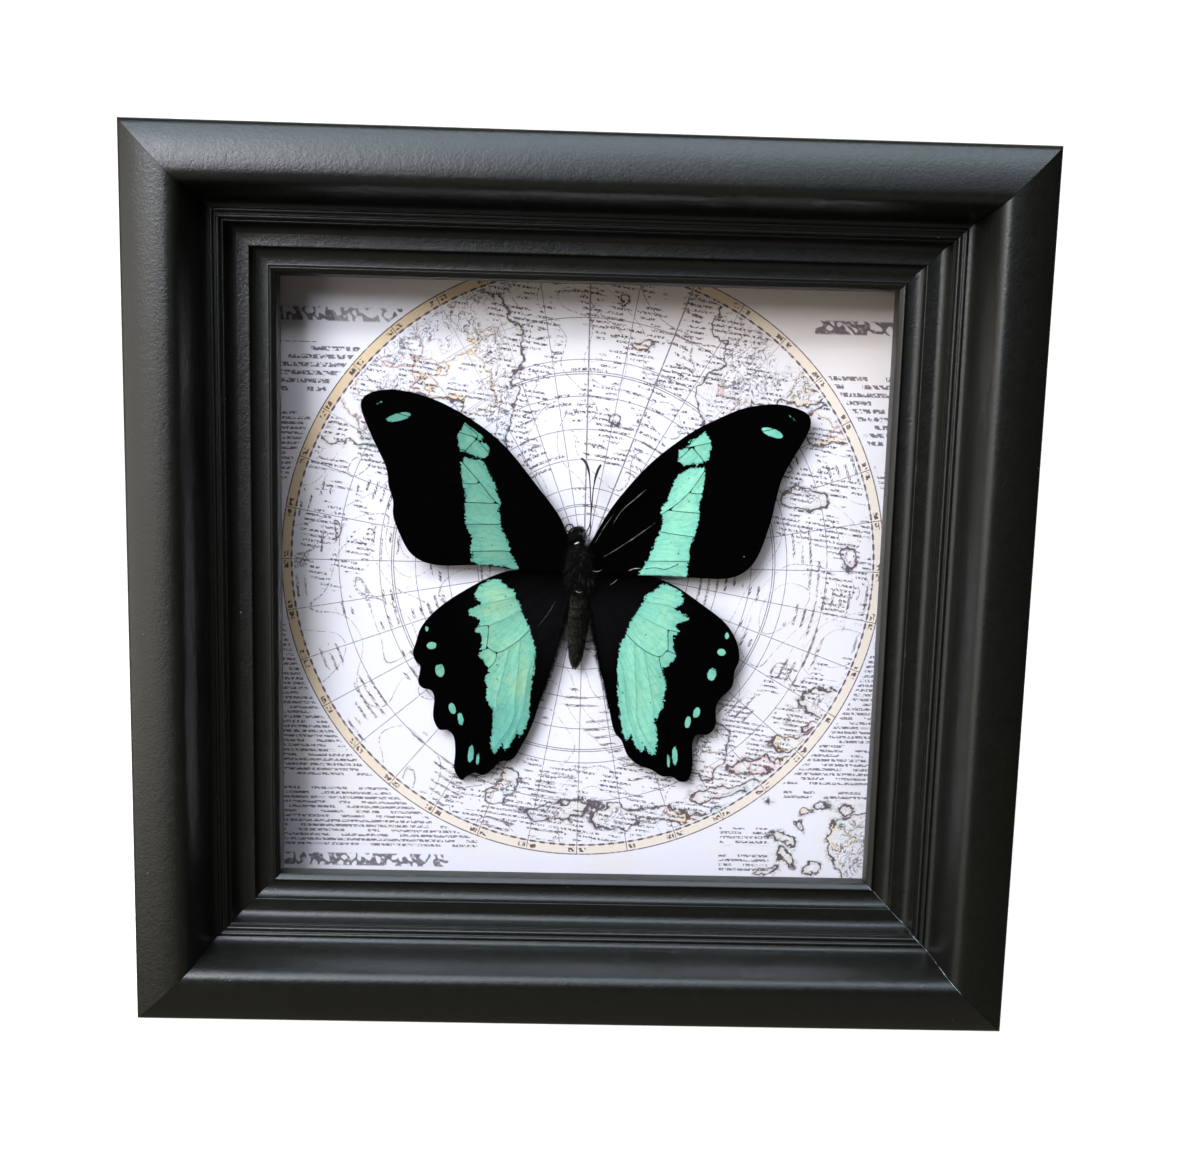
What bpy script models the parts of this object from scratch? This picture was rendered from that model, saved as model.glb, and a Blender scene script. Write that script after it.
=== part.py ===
"""Framed butterfly: a green-banded swallowtail set on a printed sheet, behind glass,
in a deep black frame whose face scoops down to the window.

The frame stands on its bottom rail and its front faces -Y. Lengths below are in
millimetres and are turned into metres where a mesh is made. Every piece hangs on one
of two empties: frame_centre, at the middle of the frame's front plane, and
butterfly_centre, on the thorax. From both, +X is right, +Y goes back from the front,
and +Z is up.
"""

import math

import bmesh
import bpy
from mathutils import Vector

# Driving dimensions of the frame.
OUTER_SIZE = 170.0
SIGHT_SIZE = 117.5
RAIL_DEPTH = 33.0
LIP_BACK = 17.6
RABBET_WIDTH = 6.0
GLASS_SIZE = 127.0
GLASS_THICK = 2.0
SPACER_WIDTH = 2.4
SPACER_DEPTH = 6.0
SHEET_THICK = 0.3
BOARD_THICK = 2.0
BACKING_SIZE = 128.0
BACKING_THICK = 1.8
GAP = 0.3

# Driving dimensions of the fixings on the back.
POINT_LENGTH = 12.6
POINT_WIDTH = 8.0
POINT_THICK = 0.5
POINT_IN_RAIL = 3.6
POINT_SHOULDER = 1.0
POINT_CORNER = 2.0
HANGER_LENGTH = 40.0
HANGER_HEIGHT = 8.0
HANGER_THICK = 0.7
HANGER_STANDOFF = 1.4
HANGER_TOOTH = 1.6
HANGER_PITCH = 2.5
HANGER_END = 6.0
HANGER_RAMP = 2.5
HANGER_ACROSS = 16.3
NAIL_SPACING = 34.0
NAIL_RADIUS = 0.6
NAIL_TIP_RADIUS = 0.15
NAIL_TAPER = 1.2
NAIL_LENGTH = 7.0
NAIL_HEAD_RADIUS = 1.7
NAIL_HEAD_THICK = 0.6
NAIL_HEAD_ROUND = 0.4

# Driving dimensions of the butterfly.
BUTTERFLY_X = -0.4
BUTTERFLY_Z = 3.2
WING_THICK = 0.2
FOREWING_RISE = 3.9
FOREWING_FALL = 0.012
HINDWING_RISE = 3.2
HINDWING_FALL = 0.020

# Worked out from the above. Each "back" is a distance behind the frame's front plane.
MM = 0.001
HALF_SIGHT = SIGHT_SIZE / 2
RAIL_WIDTH = (OUTER_SIZE - SIGHT_SIZE) / 2
MITRE_GAP = GAP / 2 * math.sqrt(2)
GLASS_BACK = LIP_BACK + GAP + GLASS_THICK
SPACER_FRONT = GLASS_BACK + GAP
SHEET_FRONT = SPACER_FRONT + SPACER_DEPTH + GAP
BOARD_FRONT = SHEET_FRONT + SHEET_THICK + GAP
BACKING_FRONT = BOARD_FRONT + BOARD_THICK + GAP
POINT_FRONT = BACKING_FRONT + BACKING_THICK + GAP
HANGER_BACK = RAIL_DEPTH + GAP + HANGER_THICK + HANGER_STANDOFF
FULL_DEPTH = HANGER_BACK

# A turn about Y takes the bottom rail to each of the other sides.
SIDES = {"bottom": 0.0, "left": 90.0, "top": 180.0, "right": -90.0}

# Wing outlines, in millimetres from the butterfly's centre. Each goes from the root
# along the leading edge to the tip, and back along the outer and inner margins.
LEFT_FOREWING = [
    (-3.0, 5.4), (-4.7, 11.0), (-9.6, 17.2), (-14.4, 23.0), (-19.2, 27.2), (-25.4, 31.0),
    (-31.1, 33.4), (-36.7, 34.5), (-40.4, 34.3), (-43.0, 33.2), (-43.9, 31.2),
    (-42.5, 27.1), (-40.3, 22.5), (-38.7, 18.9), (-38.3, 15.6), (-37.4, 12.6),
    (-37.4, 9.8), (-36.1, 6.2), (-34.1, 2.6), (-31.3, 0.6), (-27.3, -0.1),
    (-19.9, 0.1), (-13.0, -0.6), (-7.0, -0.8), (-3.0, 0.4),
]
RIGHT_FOREWING = [
    (3.0, 6.2), (5.8, 12.0), (10.0, 17.5), (14.4, 22.2), (21.0, 27.4), (26.6, 30.5),
    (32.2, 32.8), (37.8, 33.6), (41.8, 33.0), (44.4, 31.8), (45.1, 29.9), (44.1, 26.9),
    (41.2, 21.7), (39.6, 18.0), (38.7, 13.9), (38.0, 10.5), (36.5, 5.5), (34.9, 2.0),
    (32.4, -0.4), (28.7, -1.5), (22.0, -1.4), (16.0, -1.1), (8.1, -1.1), (3.0, 0.2),
]
LEFT_HINDWING = [
    (-3.0, -0.8), (-7.0, -0.2), (-12.0, -0.6), (-16.0, -1.5), (-20.5, -3.6),
    (-26.2, -7.2), (-29.5, -10.0), (-31.8, -13.0), (-32.8, -16.1), (-33.4, -18.2),
    (-32.8, -19.9), (-31.9, -20.8), (-32.0, -22.3), (-32.3, -24.2), (-31.5, -25.4),
    (-29.6, -26.0), (-29.0, -27.8), (-29.2, -31.6), (-28.0, -34.1), (-26.2, -34.2),
    (-24.9, -35.7), (-24.6, -38.9), (-24.8, -42.4), (-23.5, -44.7), (-22.0, -43.9),
    (-20.5, -43.1), (-18.9, -43.6), (-17.1, -42.4), (-15.3, -40.6), (-12.8, -39.9),
    (-11.1, -37.2), (-9.1, -33.0), (-7.3, -27.3), (-5.2, -20.5), (-3.4, -13.9),
    (-2.9, -7.7),
]
RIGHT_HINDWING = [
    (3.1, -0.6), (9.1, -0.5), (15.2, -1.6), (19.8, -3.5), (25.0, -7.0), (29.6, -10.5),
    (32.1, -14.2), (32.9, -17.9), (32.0, -20.7), (31.6, -23.8), (29.4, -26.3),
    (28.5, -28.4), (28.6, -32.0), (27.1, -34.0), (24.8, -34.2), (24.0, -36.3),
    (24.2, -40.6), (23.5, -43.8), (21.7, -44.2), (20.0, -43.1), (18.0, -43.1),
    (15.7, -41.7), (12.8, -40.6), (10.7, -38.7), (9.4, -35.7), (7.8, -33.6),
    (6.6, -28.8), (5.4, -23.6), (4.0, -18.0), (3.0, -12.4), (2.9, -6.6),
]

# Stations down the body, head first: height, sideways shift, half width, half
# thickness, and how far the middle stands off the printed sheet.
BODY_STATIONS = [
    (8.3, -0.8, 0.5, 0.5, 3.1), (8.0, -0.8, 1.2, 1.2, 3.1), (7.3, -0.8, 1.8, 1.6, 3.1),
    (6.5, -0.8, 1.9, 1.8, 3.1), (5.8, -0.7, 1.7, 1.6, 3.1), (5.2, -0.6, 1.3, 1.3, 3.0),
    (4.6, -0.5, 1.5, 1.6, 3.0), (3.8, -0.4, 2.1, 2.2, 3.0), (2.4, -0.2, 2.4, 2.5, 3.0),
    (0.5, -0.1, 2.5, 2.6, 3.0), (-1.6, 0.0, 2.5, 2.6, 3.0), (-3.3, 0.0, 2.2, 2.3, 2.9),
    (-4.5, 0.1, 1.7, 1.8, 2.8), (-5.0, 0.1, 1.6, 1.7, 2.7), (-6.0, 0.0, 1.9, 1.9, 2.7),
    (-8.2, 0.0, 2.1, 2.0, 2.6), (-10.6, -0.1, 2.2, 2.0, 2.6), (-13.2, -0.2, 2.1, 1.9, 2.5),
    (-15.6, -0.3, 1.8, 1.7, 2.4), (-17.6, -0.4, 1.5, 1.4, 2.3), (-19.3, -0.5, 1.0, 0.9, 2.2),
    (-20.6, -0.6, 0.3, 0.3, 2.1),
]
BODY_SIDES = 18

# Centre lines: sideways, up, and how far they stand off the printed sheet.
LEFT_ANTENNA = [
    (1.1, 7.4, 3.6), (1.7, 8.6, 3.8), (1.9, 10.2, 4.0), (1.9, 12.6, 4.2),
    (1.7, 15.2, 4.4), (1.5, 18.1, 4.5), (1.2, 19.8, 4.5), (0.6, 21.3, 4.4), (-0.3, 22.1, 4.3),
]
RIGHT_ANTENNA = [
    (1.4, 6.4, 3.0), (1.9, 7.4, 3.0), (1.9, 9.9, 3.1), (2.1, 12.8, 3.3),
    (2.2, 15.1, 3.5), (2.4, 16.8, 3.7), (2.7, 18.5, 3.8), (3.2, 20.0, 3.9), (3.7, 20.9, 3.9),
]
ANTENNA_SHAFT = 0.13
ANTENNA_CLUB = 0.27
ANTENNA_CLUB_FROM = 0.72
TUBE_SIDES = 8
PROBOSCIS_CENTRE = (-1.9, 9.2, 4.0)
PROBOSCIS_LOOP = 0.75
PROBOSCIS_RADIUS = 0.13
PROBOSCIS_START = -70.0
PROBOSCIS_TURN = 330.0
PROBOSCIS_STEPS = 24


# --- Scene, materials and meshes -------------------------------------------------


def clear_scene():
    for obj in list(bpy.data.objects):
        bpy.data.objects.remove(obj)


def material(name, colour, roughness, metallic=0.0, transmission=0.0):
    made = bpy.data.materials.new(name)
    made.use_nodes = True
    shader = made.node_tree.nodes["Principled BSDF"]
    shader.inputs["Base Color"].default_value = (*colour, 1.0)
    shader.inputs["Roughness"].default_value = roughness
    shader.inputs["Metallic"].default_value = metallic
    shader.inputs["Transmission Weight"].default_value = transmission
    return made


def empty(name, place):
    made = bpy.data.objects.new(name, None)
    made.location = Vector(place) * MM
    bpy.context.scene.collection.objects.link(made)
    return made


def closed_mesh(name, points, faces, smooth_under=None):
    """A mesh from millimetre points, its faces turned outwards. Edges flatter than
    smooth_under degrees are shaded smooth."""
    mesh = bpy.data.meshes.new(name)
    mesh.from_pydata([Vector(point) * MM for point in points], [], faces)
    solid = bmesh.new()
    solid.from_mesh(mesh)
    bmesh.ops.recalc_face_normals(solid, faces=solid.faces)
    solid.to_mesh(mesh)
    solid.free()
    if smooth_under:
        mesh.shade_smooth()
        mesh.set_sharp_from_angle(angle=math.radians(smooth_under))
    return mesh


def piece(name, mesh, finish, parent, place=(0.0, 0.0, 0.0)):
    made = bpy.data.objects.new(name, mesh)
    made.parent = parent
    made.location = Vector(place) * MM
    mesh.materials.clear()
    mesh.materials.append(finish)
    bpy.context.scene.collection.objects.link(made)
    return made


def cut(target, cutter):
    cutter.hide_render = True
    cutter.display_type = "WIRE"
    boolean = target.modifiers.new(f"cut {cutter.name}", "BOOLEAN")
    boolean.operation = "DIFFERENCE"
    boolean.object = cutter


def rings_mesh(name, rings, smooth_under=None):
    """One closed body through rings of equal point counts, its two ends capped."""
    count = len(rings[0])
    points = [point for ring in rings for point in ring]
    faces = [list(range(count)), list(range(len(points) - count, len(points)))]
    for ring in range(len(rings) - 1):
        for index in range(count):
            following = (index + 1) % count
            first = ring * count
            second = first + count
            faces.append([first + index, first + following, second + following, second + index])
    return closed_mesh(name, points, faces, smooth_under)


def prism(name, outline, low, high):
    """A flat (x, z) outline made solid from y = low to y = high."""
    return rings_mesh(name, [[(x, y, z) for x, z in outline] for y in (low, high)])


def box(name, width, height, low, high):
    x = width / 2
    z = height / 2
    return prism(name, [(-x, -z), (x, -z), (x, z), (-x, z)], low, high)


def circle(radius, sides):
    turns = [2 * math.pi * step / sides for step in range(sides)]
    return [(radius * math.cos(turn), radius * math.sin(turn)) for turn in turns]


# --- Curves ----------------------------------------------------------------------


def bezier(start, first, second, end, steps):
    """The points of a cubic curve after its start, its end included."""
    points = []
    for step in range(1, steps + 1):
        t = step / steps
        u = 1 - t
        weights = (u**3, 3 * u * u * t, 3 * u * t * t, t**3)
        corners = (start, first, second, end)
        points.append(tuple(sum(w * c[axis] for w, c in zip(weights, corners)) for axis in (0, 1)))
    return points


def through(points, per_span, closed):
    """A smooth Catmull-Rom curve through the points."""
    count = len(points)
    spans = count if closed else count - 1
    curve = []
    for span in range(spans):
        near = [points[min(max(span + k, 0), count - 1)] for k in (-1, 0, 1, 2)]
        if closed:
            near = [points[(span + k) % count] for k in (-1, 0, 1, 2)]
        before, here, there, after = (Vector(point) for point in near)
        for step in range(per_span):
            t = step / per_span
            bend = 2 * before - 5 * here + 4 * there - after
            swing = 3 * here - before - 3 * there + after
            curve.append((2 * here + (there - before) * t + bend * t**2 + swing * t**3) / 2)
    if not closed:
        curve.append(Vector(points[-1]))
    return curve


def tube_mesh(name, centre_line, radii, sides):
    """A round tube whose rings stand square to the centre line."""
    rings = []
    for index, (centre, radius) in enumerate(zip(centre_line, radii)):
        before = centre_line[max(index - 1, 0)]
        after = centre_line[min(index + 1, len(centre_line) - 1)]
        ahead = (after - before).normalized()
        side = ahead.cross(Vector((0.0, 1.0, 0.0))).normalized()
        other = ahead.cross(side)
        rings.append([centre + side * a + other * b for a, b in circle(radius, sides)])
    return rings_mesh(name, rings, smooth_under=60)


# --- Frame -----------------------------------------------------------------------


def moulding_profile():
    """(across, back) points round the rail: across from the sight edge outwards, and
    back from the front plane. The face climbs from the window to the crest."""
    bead_radius = 0.38
    beads = ((11.35, 10.5), (10.2, 10.6))
    crest = (17.2, 0.0)
    shoulder = (24.8, 2.2)
    flank = (13.9, 4.3)
    foot = (12.2, 10.3)
    ridge = (9.2, 10.8)
    step = (7.4, 13.7)
    arris = (5.1, 13.5)
    quirk = (2.7, 15.2)
    profile = [(RABBET_WIDTH, RAIL_DEPTH), (RAIL_WIDTH, RAIL_DEPTH), (RAIL_WIDTH, 5.2)]
    profile += bezier(profile[-1], (RAIL_WIDTH, 3.6), (25.8, 2.7), shoulder, 5)
    profile += bezier(shoulder, (22.6, 0.9), (19.6, 0.0), crest, 7)
    profile += bezier(crest, (15.1, 0.0), (14.6, 1.9), flank, 6)
    profile += bezier(flank, (13.3, 6.7), (13.3, 9.6), foot, 6)
    for middle, height in beads:
        for turn in range(0, 181, 45):
            angle = math.radians(turn)
            over = bead_radius * math.cos(angle)
            profile.append((middle + over, height - bead_radius * math.sin(angle)))
    profile += [(9.5, 11.2), ridge]
    profile += bezier(ridge, (9.1, 12.5), (8.6, 13.5), step, 5)
    profile.append(arris)
    profile += bezier(arris, (4.95, 14.5), (4.2, 15.15), quirk, 5)
    profile += [(1.8, 15.2), (1.5, 14.2), (1.1, 14.2), (0.0, 15.0)]
    profile += [(0.0, LIP_BACK), (RABBET_WIDTH, LIP_BACK)]
    return profile


def rail_mesh(name):
    """The bottom rail, mitred at both ends."""
    profile = moulding_profile()
    ends = []
    for side in (-1, 1):
        ring = []
        for across, back in profile:
            reach = HALF_SIGHT + across
            ring.append((side * (reach - MITRE_GAP), back, -reach))
        ends.append(ring)
    return rings_mesh(name, ends, smooth_under=38)


def make_rails(parent, black_paint):
    rails = {}
    for side, angle in SIDES.items():
        rail = piece(f"rail_{side}", rail_mesh(f"rail_{side}"), black_paint, parent)
        rail.rotation_euler.y = math.radians(angle)
        rails[side] = rail
    return rails


def make_glass(parent, clear_glass):
    back = GLASS_BACK
    pane = box("glass_pane", GLASS_SIZE, GLASS_SIZE, back - GLASS_THICK, back)
    piece("glass_pane", pane, clear_glass, parent)


def make_spacers(parent, black_foam):
    """Four strips round the rabbet. Each stops short of the next one's face."""
    outer = HALF_SIGHT + RABBET_WIDTH - GAP
    inner = outer - SPACER_WIDTH
    for side, angle in SIDES.items():
        outline = [(-outer, -outer), (inner - GAP, -outer), (inner - GAP, -inner), (-outer, -inner)]
        strip = prism(f"spacer_{side}", outline, SPACER_FRONT, SPACER_FRONT + SPACER_DEPTH)
        made = piece(f"spacer_{side}", strip, black_foam, parent)
        made.rotation_euler.y = math.radians(angle)


def make_layers(parent, printed_paper, pale_board, hardboard):
    """The printed sheet, the board under it and the backing, front to back."""
    layers = (
        ("printed_sheet", GLASS_SIZE, SHEET_FRONT, SHEET_THICK, printed_paper),
        ("mount_board", GLASS_SIZE, BOARD_FRONT, BOARD_THICK, pale_board),
        ("backing_board", BACKING_SIZE, BACKING_FRONT, BACKING_THICK, hardboard),
    )
    for name, size, front, thick, finish in layers:
        piece(name, box(name, size, size, front, front + thick), finish, parent)


# --- Fixings on the back ---------------------------------------------------------


def make_points(parent, rails, steel):
    """One flat framer's point a side, its tip in a slot in the rail."""
    wall = -(HALF_SIGHT + RABBET_WIDTH)
    tip = wall - POINT_IN_RAIL
    free = tip + POINT_LENGTH
    half = POINT_WIDTH / 2
    outline = [
        (0.0, tip),
        (half, wall - POINT_SHOULDER),
        (half, free - POINT_CORNER),
        (half - POINT_CORNER, free),
    ]
    outline += [(-x, z) for x, z in reversed(outline[1:])]
    x = half + GAP
    slot = [(x, wall + GAP), (-x, wall + GAP), (-x, tip - GAP), (x, tip - GAP)]
    for side, angle in SIDES.items():
        name = f"framers_point_{side}"
        mesh = prism(name, outline, POINT_FRONT, POINT_FRONT + POINT_THICK)
        made = piece(name, mesh, steel, parent)
        made.rotation_euler.y = math.radians(angle)
        cutter_mesh = prism(f"slot_{side}", slot, POINT_FRONT - GAP, POINT_FRONT + POINT_THICK + GAP)
        cutter = piece(f"slot_{side}", cutter_mesh, steel, parent)
        cutter.rotation_euler.y = math.radians(angle)
        cut(rails[side], cutter)


def hanger_mesh():
    """A strip whose ends lie flat on the rail and whose middle stands off it, with
    teeth along the middle's lower edge."""
    half = HANGER_LENGTH / 2
    flat = half - HANGER_END
    raised = flat - HANGER_RAMP
    near = RAIL_DEPTH + GAP
    stations = [(-half, 0.0, 0.0), (-flat, 0.0, 0.0)]
    teeth = int(2 * raised / HANGER_PITCH)
    for tooth in range(teeth + 1):
        x = -raised + tooth * 2 * raised / teeth
        stations.append((x, HANGER_STANDOFF, 0.0))
        if tooth < teeth:
            stations.append((x + raised / teeth, HANGER_STANDOFF, HANGER_TOOTH))
    stations += [(flat, 0.0, 0.0), (half, 0.0, 0.0)]
    rings = []
    for x, off, notch in stations:
        front = near + off
        back = front + HANGER_THICK
        low = -HANGER_HEIGHT / 2 + notch
        high = HANGER_HEIGHT / 2
        rings.append([(x, front, low), (x, back, low), (x, back, high), (x, front, high)])
    return rings_mesh("sawtooth_hanger", rings)


def nail_mesh(name):
    """A round head on the hanger and a shank that ends in the rail."""
    head_front = RAIL_DEPTH + HANGER_THICK + 2 * GAP
    shank_end = head_front - NAIL_LENGTH
    stations = (
        (NAIL_TIP_RADIUS, shank_end),
        (NAIL_RADIUS, shank_end + NAIL_TAPER),
        (NAIL_RADIUS, head_front),
        (NAIL_HEAD_RADIUS, head_front),
        (NAIL_HEAD_RADIUS - NAIL_HEAD_ROUND, head_front + NAIL_HEAD_THICK),
    )
    rings = [[(x, back, z) for x, z in circle(radius, 16)] for radius, back in stations]
    return rings_mesh(name, rings, smooth_under=35)


def make_hanger(parent, rails, steel, brass):
    height = HALF_SIGHT + HANGER_ACROSS
    hanger = piece("sawtooth_hanger", hanger_mesh(), steel, parent, (0.0, 0.0, height))
    for side, x in (("left", -NAIL_SPACING / 2), ("right", NAIL_SPACING / 2)):
        place = (x, 0.0, height)
        piece(f"hanger_nail_{side}", nail_mesh(f"hanger_nail_{side}"), brass, parent, place)
        hole = prism(
            f"nail_hole_{side}",
            circle(NAIL_RADIUS + GAP, 16),
            RAIL_DEPTH - NAIL_LENGTH + GAP,
            HANGER_BACK + GAP,
        )
        cutter = piece(f"nail_hole_{side}", hole, brass, parent, place)
        cut(hanger, cutter)
        cut(rails["top"], cutter)


# --- Butterfly -------------------------------------------------------------------


def standing(rise):
    """Y, from the butterfly's empty, of a point that far off the printed sheet."""
    return SHEET_FRONT - rise


def wing_mesh(name, outline, root, rise, fall):
    """A thin sheet inside the outline, which sinks towards the printed sheet with the
    distance from its root."""
    edge = through([(x, z, 0.0) for x, z in outline], 2, closed=True)
    middle = sum(edge, Vector((0.0, 0.0, 0.0))) / len(edge)
    rings = [[middle + (point - middle) * share for point in edge] for share in (1.0, 0.68, 0.34)]
    points = []
    for offset in (0.0, WING_THICK):
        for place in [place for ring in rings for place in ring] + [middle]:
            distance = math.hypot(place.x - root[0], place.y - root[1])
            points.append((place.x, standing(rise - fall * distance) + offset, place.y))
    count = len(edge)
    layer = len(rings) * count + 1
    faces = []
    for index in range(count):
        following = (index + 1) % count
        faces.append([index, following, following + layer, index + layer])
        for base in (0, layer):
            for ring in range(len(rings) - 1):
                outer = base + ring * count
                inner = outer + count
                faces.append([outer + index, outer + following, inner + following, inner + index])
            last = base + (len(rings) - 1) * count
            faces.append([last + index, last + following, base + layer - 1])
    return closed_mesh(name, points, faces, smooth_under=60)


def make_wings(parent, wing_scales):
    wings = (
        ("forewing_left", LEFT_FOREWING, (-3.0, 3.0), FOREWING_RISE, FOREWING_FALL),
        ("forewing_right", RIGHT_FOREWING, (3.0, 3.0), FOREWING_RISE, FOREWING_FALL),
        ("hindwing_left", LEFT_HINDWING, (-3.0, -3.0), HINDWING_RISE, HINDWING_FALL),
        ("hindwing_right", RIGHT_HINDWING, (3.0, -3.0), HINDWING_RISE, HINDWING_FALL),
    )
    for name, outline, root, rise, fall in wings:
        piece(name, wing_mesh(name, outline, root, rise, fall), wing_scales, parent)


def make_body(parent, body_fur):
    rings = []
    for height, shift, half_width, half_thick, rise in BODY_STATIONS:
        ring = []
        for a, b in circle(1.0, BODY_SIDES):
            ring.append((shift + a * half_width, standing(rise) + b * half_thick, height))
        rings.append(ring)
    piece("butterfly_body", rings_mesh("butterfly_body", rings, smooth_under=60), body_fur, parent)


def make_antennae(parent, body_fur):
    for name, route in (("antenna_left", LEFT_ANTENNA), ("antenna_right", RIGHT_ANTENNA)):
        line = through([(x, standing(rise), z) for x, z, rise in route], 3, closed=False)
        radii = []
        for index in range(len(line)):
            along = index / (len(line) - 1)
            swell = max(0.0, (along - ANTENNA_CLUB_FROM) / (1 - ANTENNA_CLUB_FROM))
            thicker = math.sin(swell * math.pi * 0.75)
            radii.append(ANTENNA_SHAFT + (ANTENNA_CLUB - ANTENNA_SHAFT) * thicker)
        piece(name, tube_mesh(name, line, radii, TUBE_SIDES), body_fur, parent)


def make_proboscis(parent, body_fur):
    """A single open loop that stands up beside the head."""
    x, z, rise = PROBOSCIS_CENTRE
    line = []
    for step in range(PROBOSCIS_STEPS + 1):
        angle = math.radians(PROBOSCIS_START + PROBOSCIS_TURN * step / PROBOSCIS_STEPS)
        side = x + PROBOSCIS_LOOP * math.cos(angle)
        line.append(Vector((side, standing(rise), z + PROBOSCIS_LOOP * math.sin(angle))))
    radii = [PROBOSCIS_RADIUS] * len(line)
    piece("proboscis", tube_mesh("proboscis", line, radii, TUBE_SIDES), body_fur, parent)


# --- Everything ------------------------------------------------------------------


def build():
    clear_scene()
    black_paint = material("black_paint", (0.012, 0.012, 0.011), 0.32)
    clear_glass = material("clear_glass", (0.95, 0.98, 0.97), 0.02, transmission=1.0)
    black_foam = material("black_foam", (0.02, 0.02, 0.02), 0.9)
    printed_paper = material("printed_paper", (0.78, 0.77, 0.84), 0.75)
    mount_board = material("mount_board", (0.8, 0.79, 0.76), 0.8)
    hardboard = material("hardboard", (0.18, 0.1, 0.05), 0.7)
    steel = material("steel", (0.5, 0.5, 0.5), 0.35, metallic=1.0)
    brass = material("brass", (0.6, 0.42, 0.16), 0.35, metallic=1.0)
    wing_scales = material("wing_scales", (0.006, 0.006, 0.007), 0.65)
    body_fur = material("body_fur", (0.012, 0.01, 0.007), 0.7)

    frame_centre = empty("frame_centre", (0.0, -FULL_DEPTH / 2, OUTER_SIZE / 2))
    rails = make_rails(frame_centre, black_paint)
    make_glass(frame_centre, clear_glass)
    make_spacers(frame_centre, black_foam)
    make_layers(frame_centre, printed_paper, mount_board, hardboard)
    make_points(frame_centre, rails, steel)
    make_hanger(frame_centre, rails, steel, brass)

    butterfly_centre = empty("butterfly_centre", (BUTTERFLY_X, 0.0, BUTTERFLY_Z))
    butterfly_centre.parent = frame_centre
    make_body(butterfly_centre, body_fur)
    make_wings(butterfly_centre, wing_scales)
    make_antennae(butterfly_centre, body_fur)
    make_proboscis(butterfly_centre, body_fur)


build()
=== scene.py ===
# %% [markdown]
# # A butterfly in a deep black frame
# This file gives a framed butterfly its looks. Each step below then gives one of those
# solids a finish, or builds a finer piece in its place.

import math

import bpy
import numpy as np
from mathutils import Matrix, Vector
from mathutils.geometry import delaunay_2d_cdt

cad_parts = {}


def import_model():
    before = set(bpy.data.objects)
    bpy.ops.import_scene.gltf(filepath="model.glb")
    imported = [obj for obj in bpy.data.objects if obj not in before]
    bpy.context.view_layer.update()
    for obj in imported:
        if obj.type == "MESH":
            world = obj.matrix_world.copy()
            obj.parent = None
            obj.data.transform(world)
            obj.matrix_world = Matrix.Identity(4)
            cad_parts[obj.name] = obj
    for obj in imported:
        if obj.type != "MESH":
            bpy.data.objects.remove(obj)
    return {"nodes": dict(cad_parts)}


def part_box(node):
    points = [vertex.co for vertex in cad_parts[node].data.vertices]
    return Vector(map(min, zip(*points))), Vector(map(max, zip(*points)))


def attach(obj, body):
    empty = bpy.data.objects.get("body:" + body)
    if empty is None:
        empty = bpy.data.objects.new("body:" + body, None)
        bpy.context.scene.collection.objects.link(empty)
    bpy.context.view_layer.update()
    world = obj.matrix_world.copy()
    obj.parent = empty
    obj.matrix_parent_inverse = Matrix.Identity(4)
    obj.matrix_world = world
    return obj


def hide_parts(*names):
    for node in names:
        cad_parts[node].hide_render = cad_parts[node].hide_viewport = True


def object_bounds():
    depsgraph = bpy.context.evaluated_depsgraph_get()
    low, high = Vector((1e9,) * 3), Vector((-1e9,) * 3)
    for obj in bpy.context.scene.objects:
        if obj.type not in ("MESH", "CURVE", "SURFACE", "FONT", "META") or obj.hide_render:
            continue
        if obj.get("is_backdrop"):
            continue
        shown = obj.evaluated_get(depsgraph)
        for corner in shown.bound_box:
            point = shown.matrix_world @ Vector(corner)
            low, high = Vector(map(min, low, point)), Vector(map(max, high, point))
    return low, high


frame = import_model()
solid_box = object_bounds()
nodes = frame["nodes"]
print("solid pieces:", len(nodes))

# %% [markdown]
# ## Millimetres
# Blender counts in metres, but a frame maker works in millimetres. All lengths below are
# in millimetres from the middle of the frame's front: x to the right, back from the
# front plane, z up. One function turns them into Blender's metres. The few sizes that the
# pieces need are read off the solid model, so they can't disagree with it.

# %% Units and places
MM = 0.001
low, high = solid_box
CENTRE = Vector(((low.x + high.x) / 2, low.y, (low.z + high.z) / 2))


def world(points):
    """Turns (x, back, z) rows in millimetres into Blender's metres."""
    return np.asarray(points, float) * MM + np.array(CENTRE)


def depth_of(node, side):
    """How far behind the frame's front a node's near (0) or far (1) face lies."""
    return (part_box(node)[side].y - CENTRE.y) / MM


HALF_SIGHT = (CENTRE.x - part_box("rail_left")[1].x) / MM
RAIL_WIDTH = (high.x - CENTRE.x) / MM - HALF_SIGHT
RAIL_DEPTH = depth_of("rail_bottom", 1)
SHEET_DEPTH = depth_of("printed_sheet", 0)
print(f"window {2 * HALF_SIGHT:.1f} mm, rail {RAIL_WIDTH:.2f} x {RAIL_DEPTH:.1f} mm")

# %% [markdown]
# ## Making meshes and pieces
# Every finer piece is worked out as arrays of points and faces. One helper makes the mesh,
# shades it smooth except across sharp edges and hangs it on the model. Where a piece
# stands in for a solid, its own step says so. Numbers that a material needs, such as the
# distance to a vein, are stored on the points as named attributes.


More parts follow.
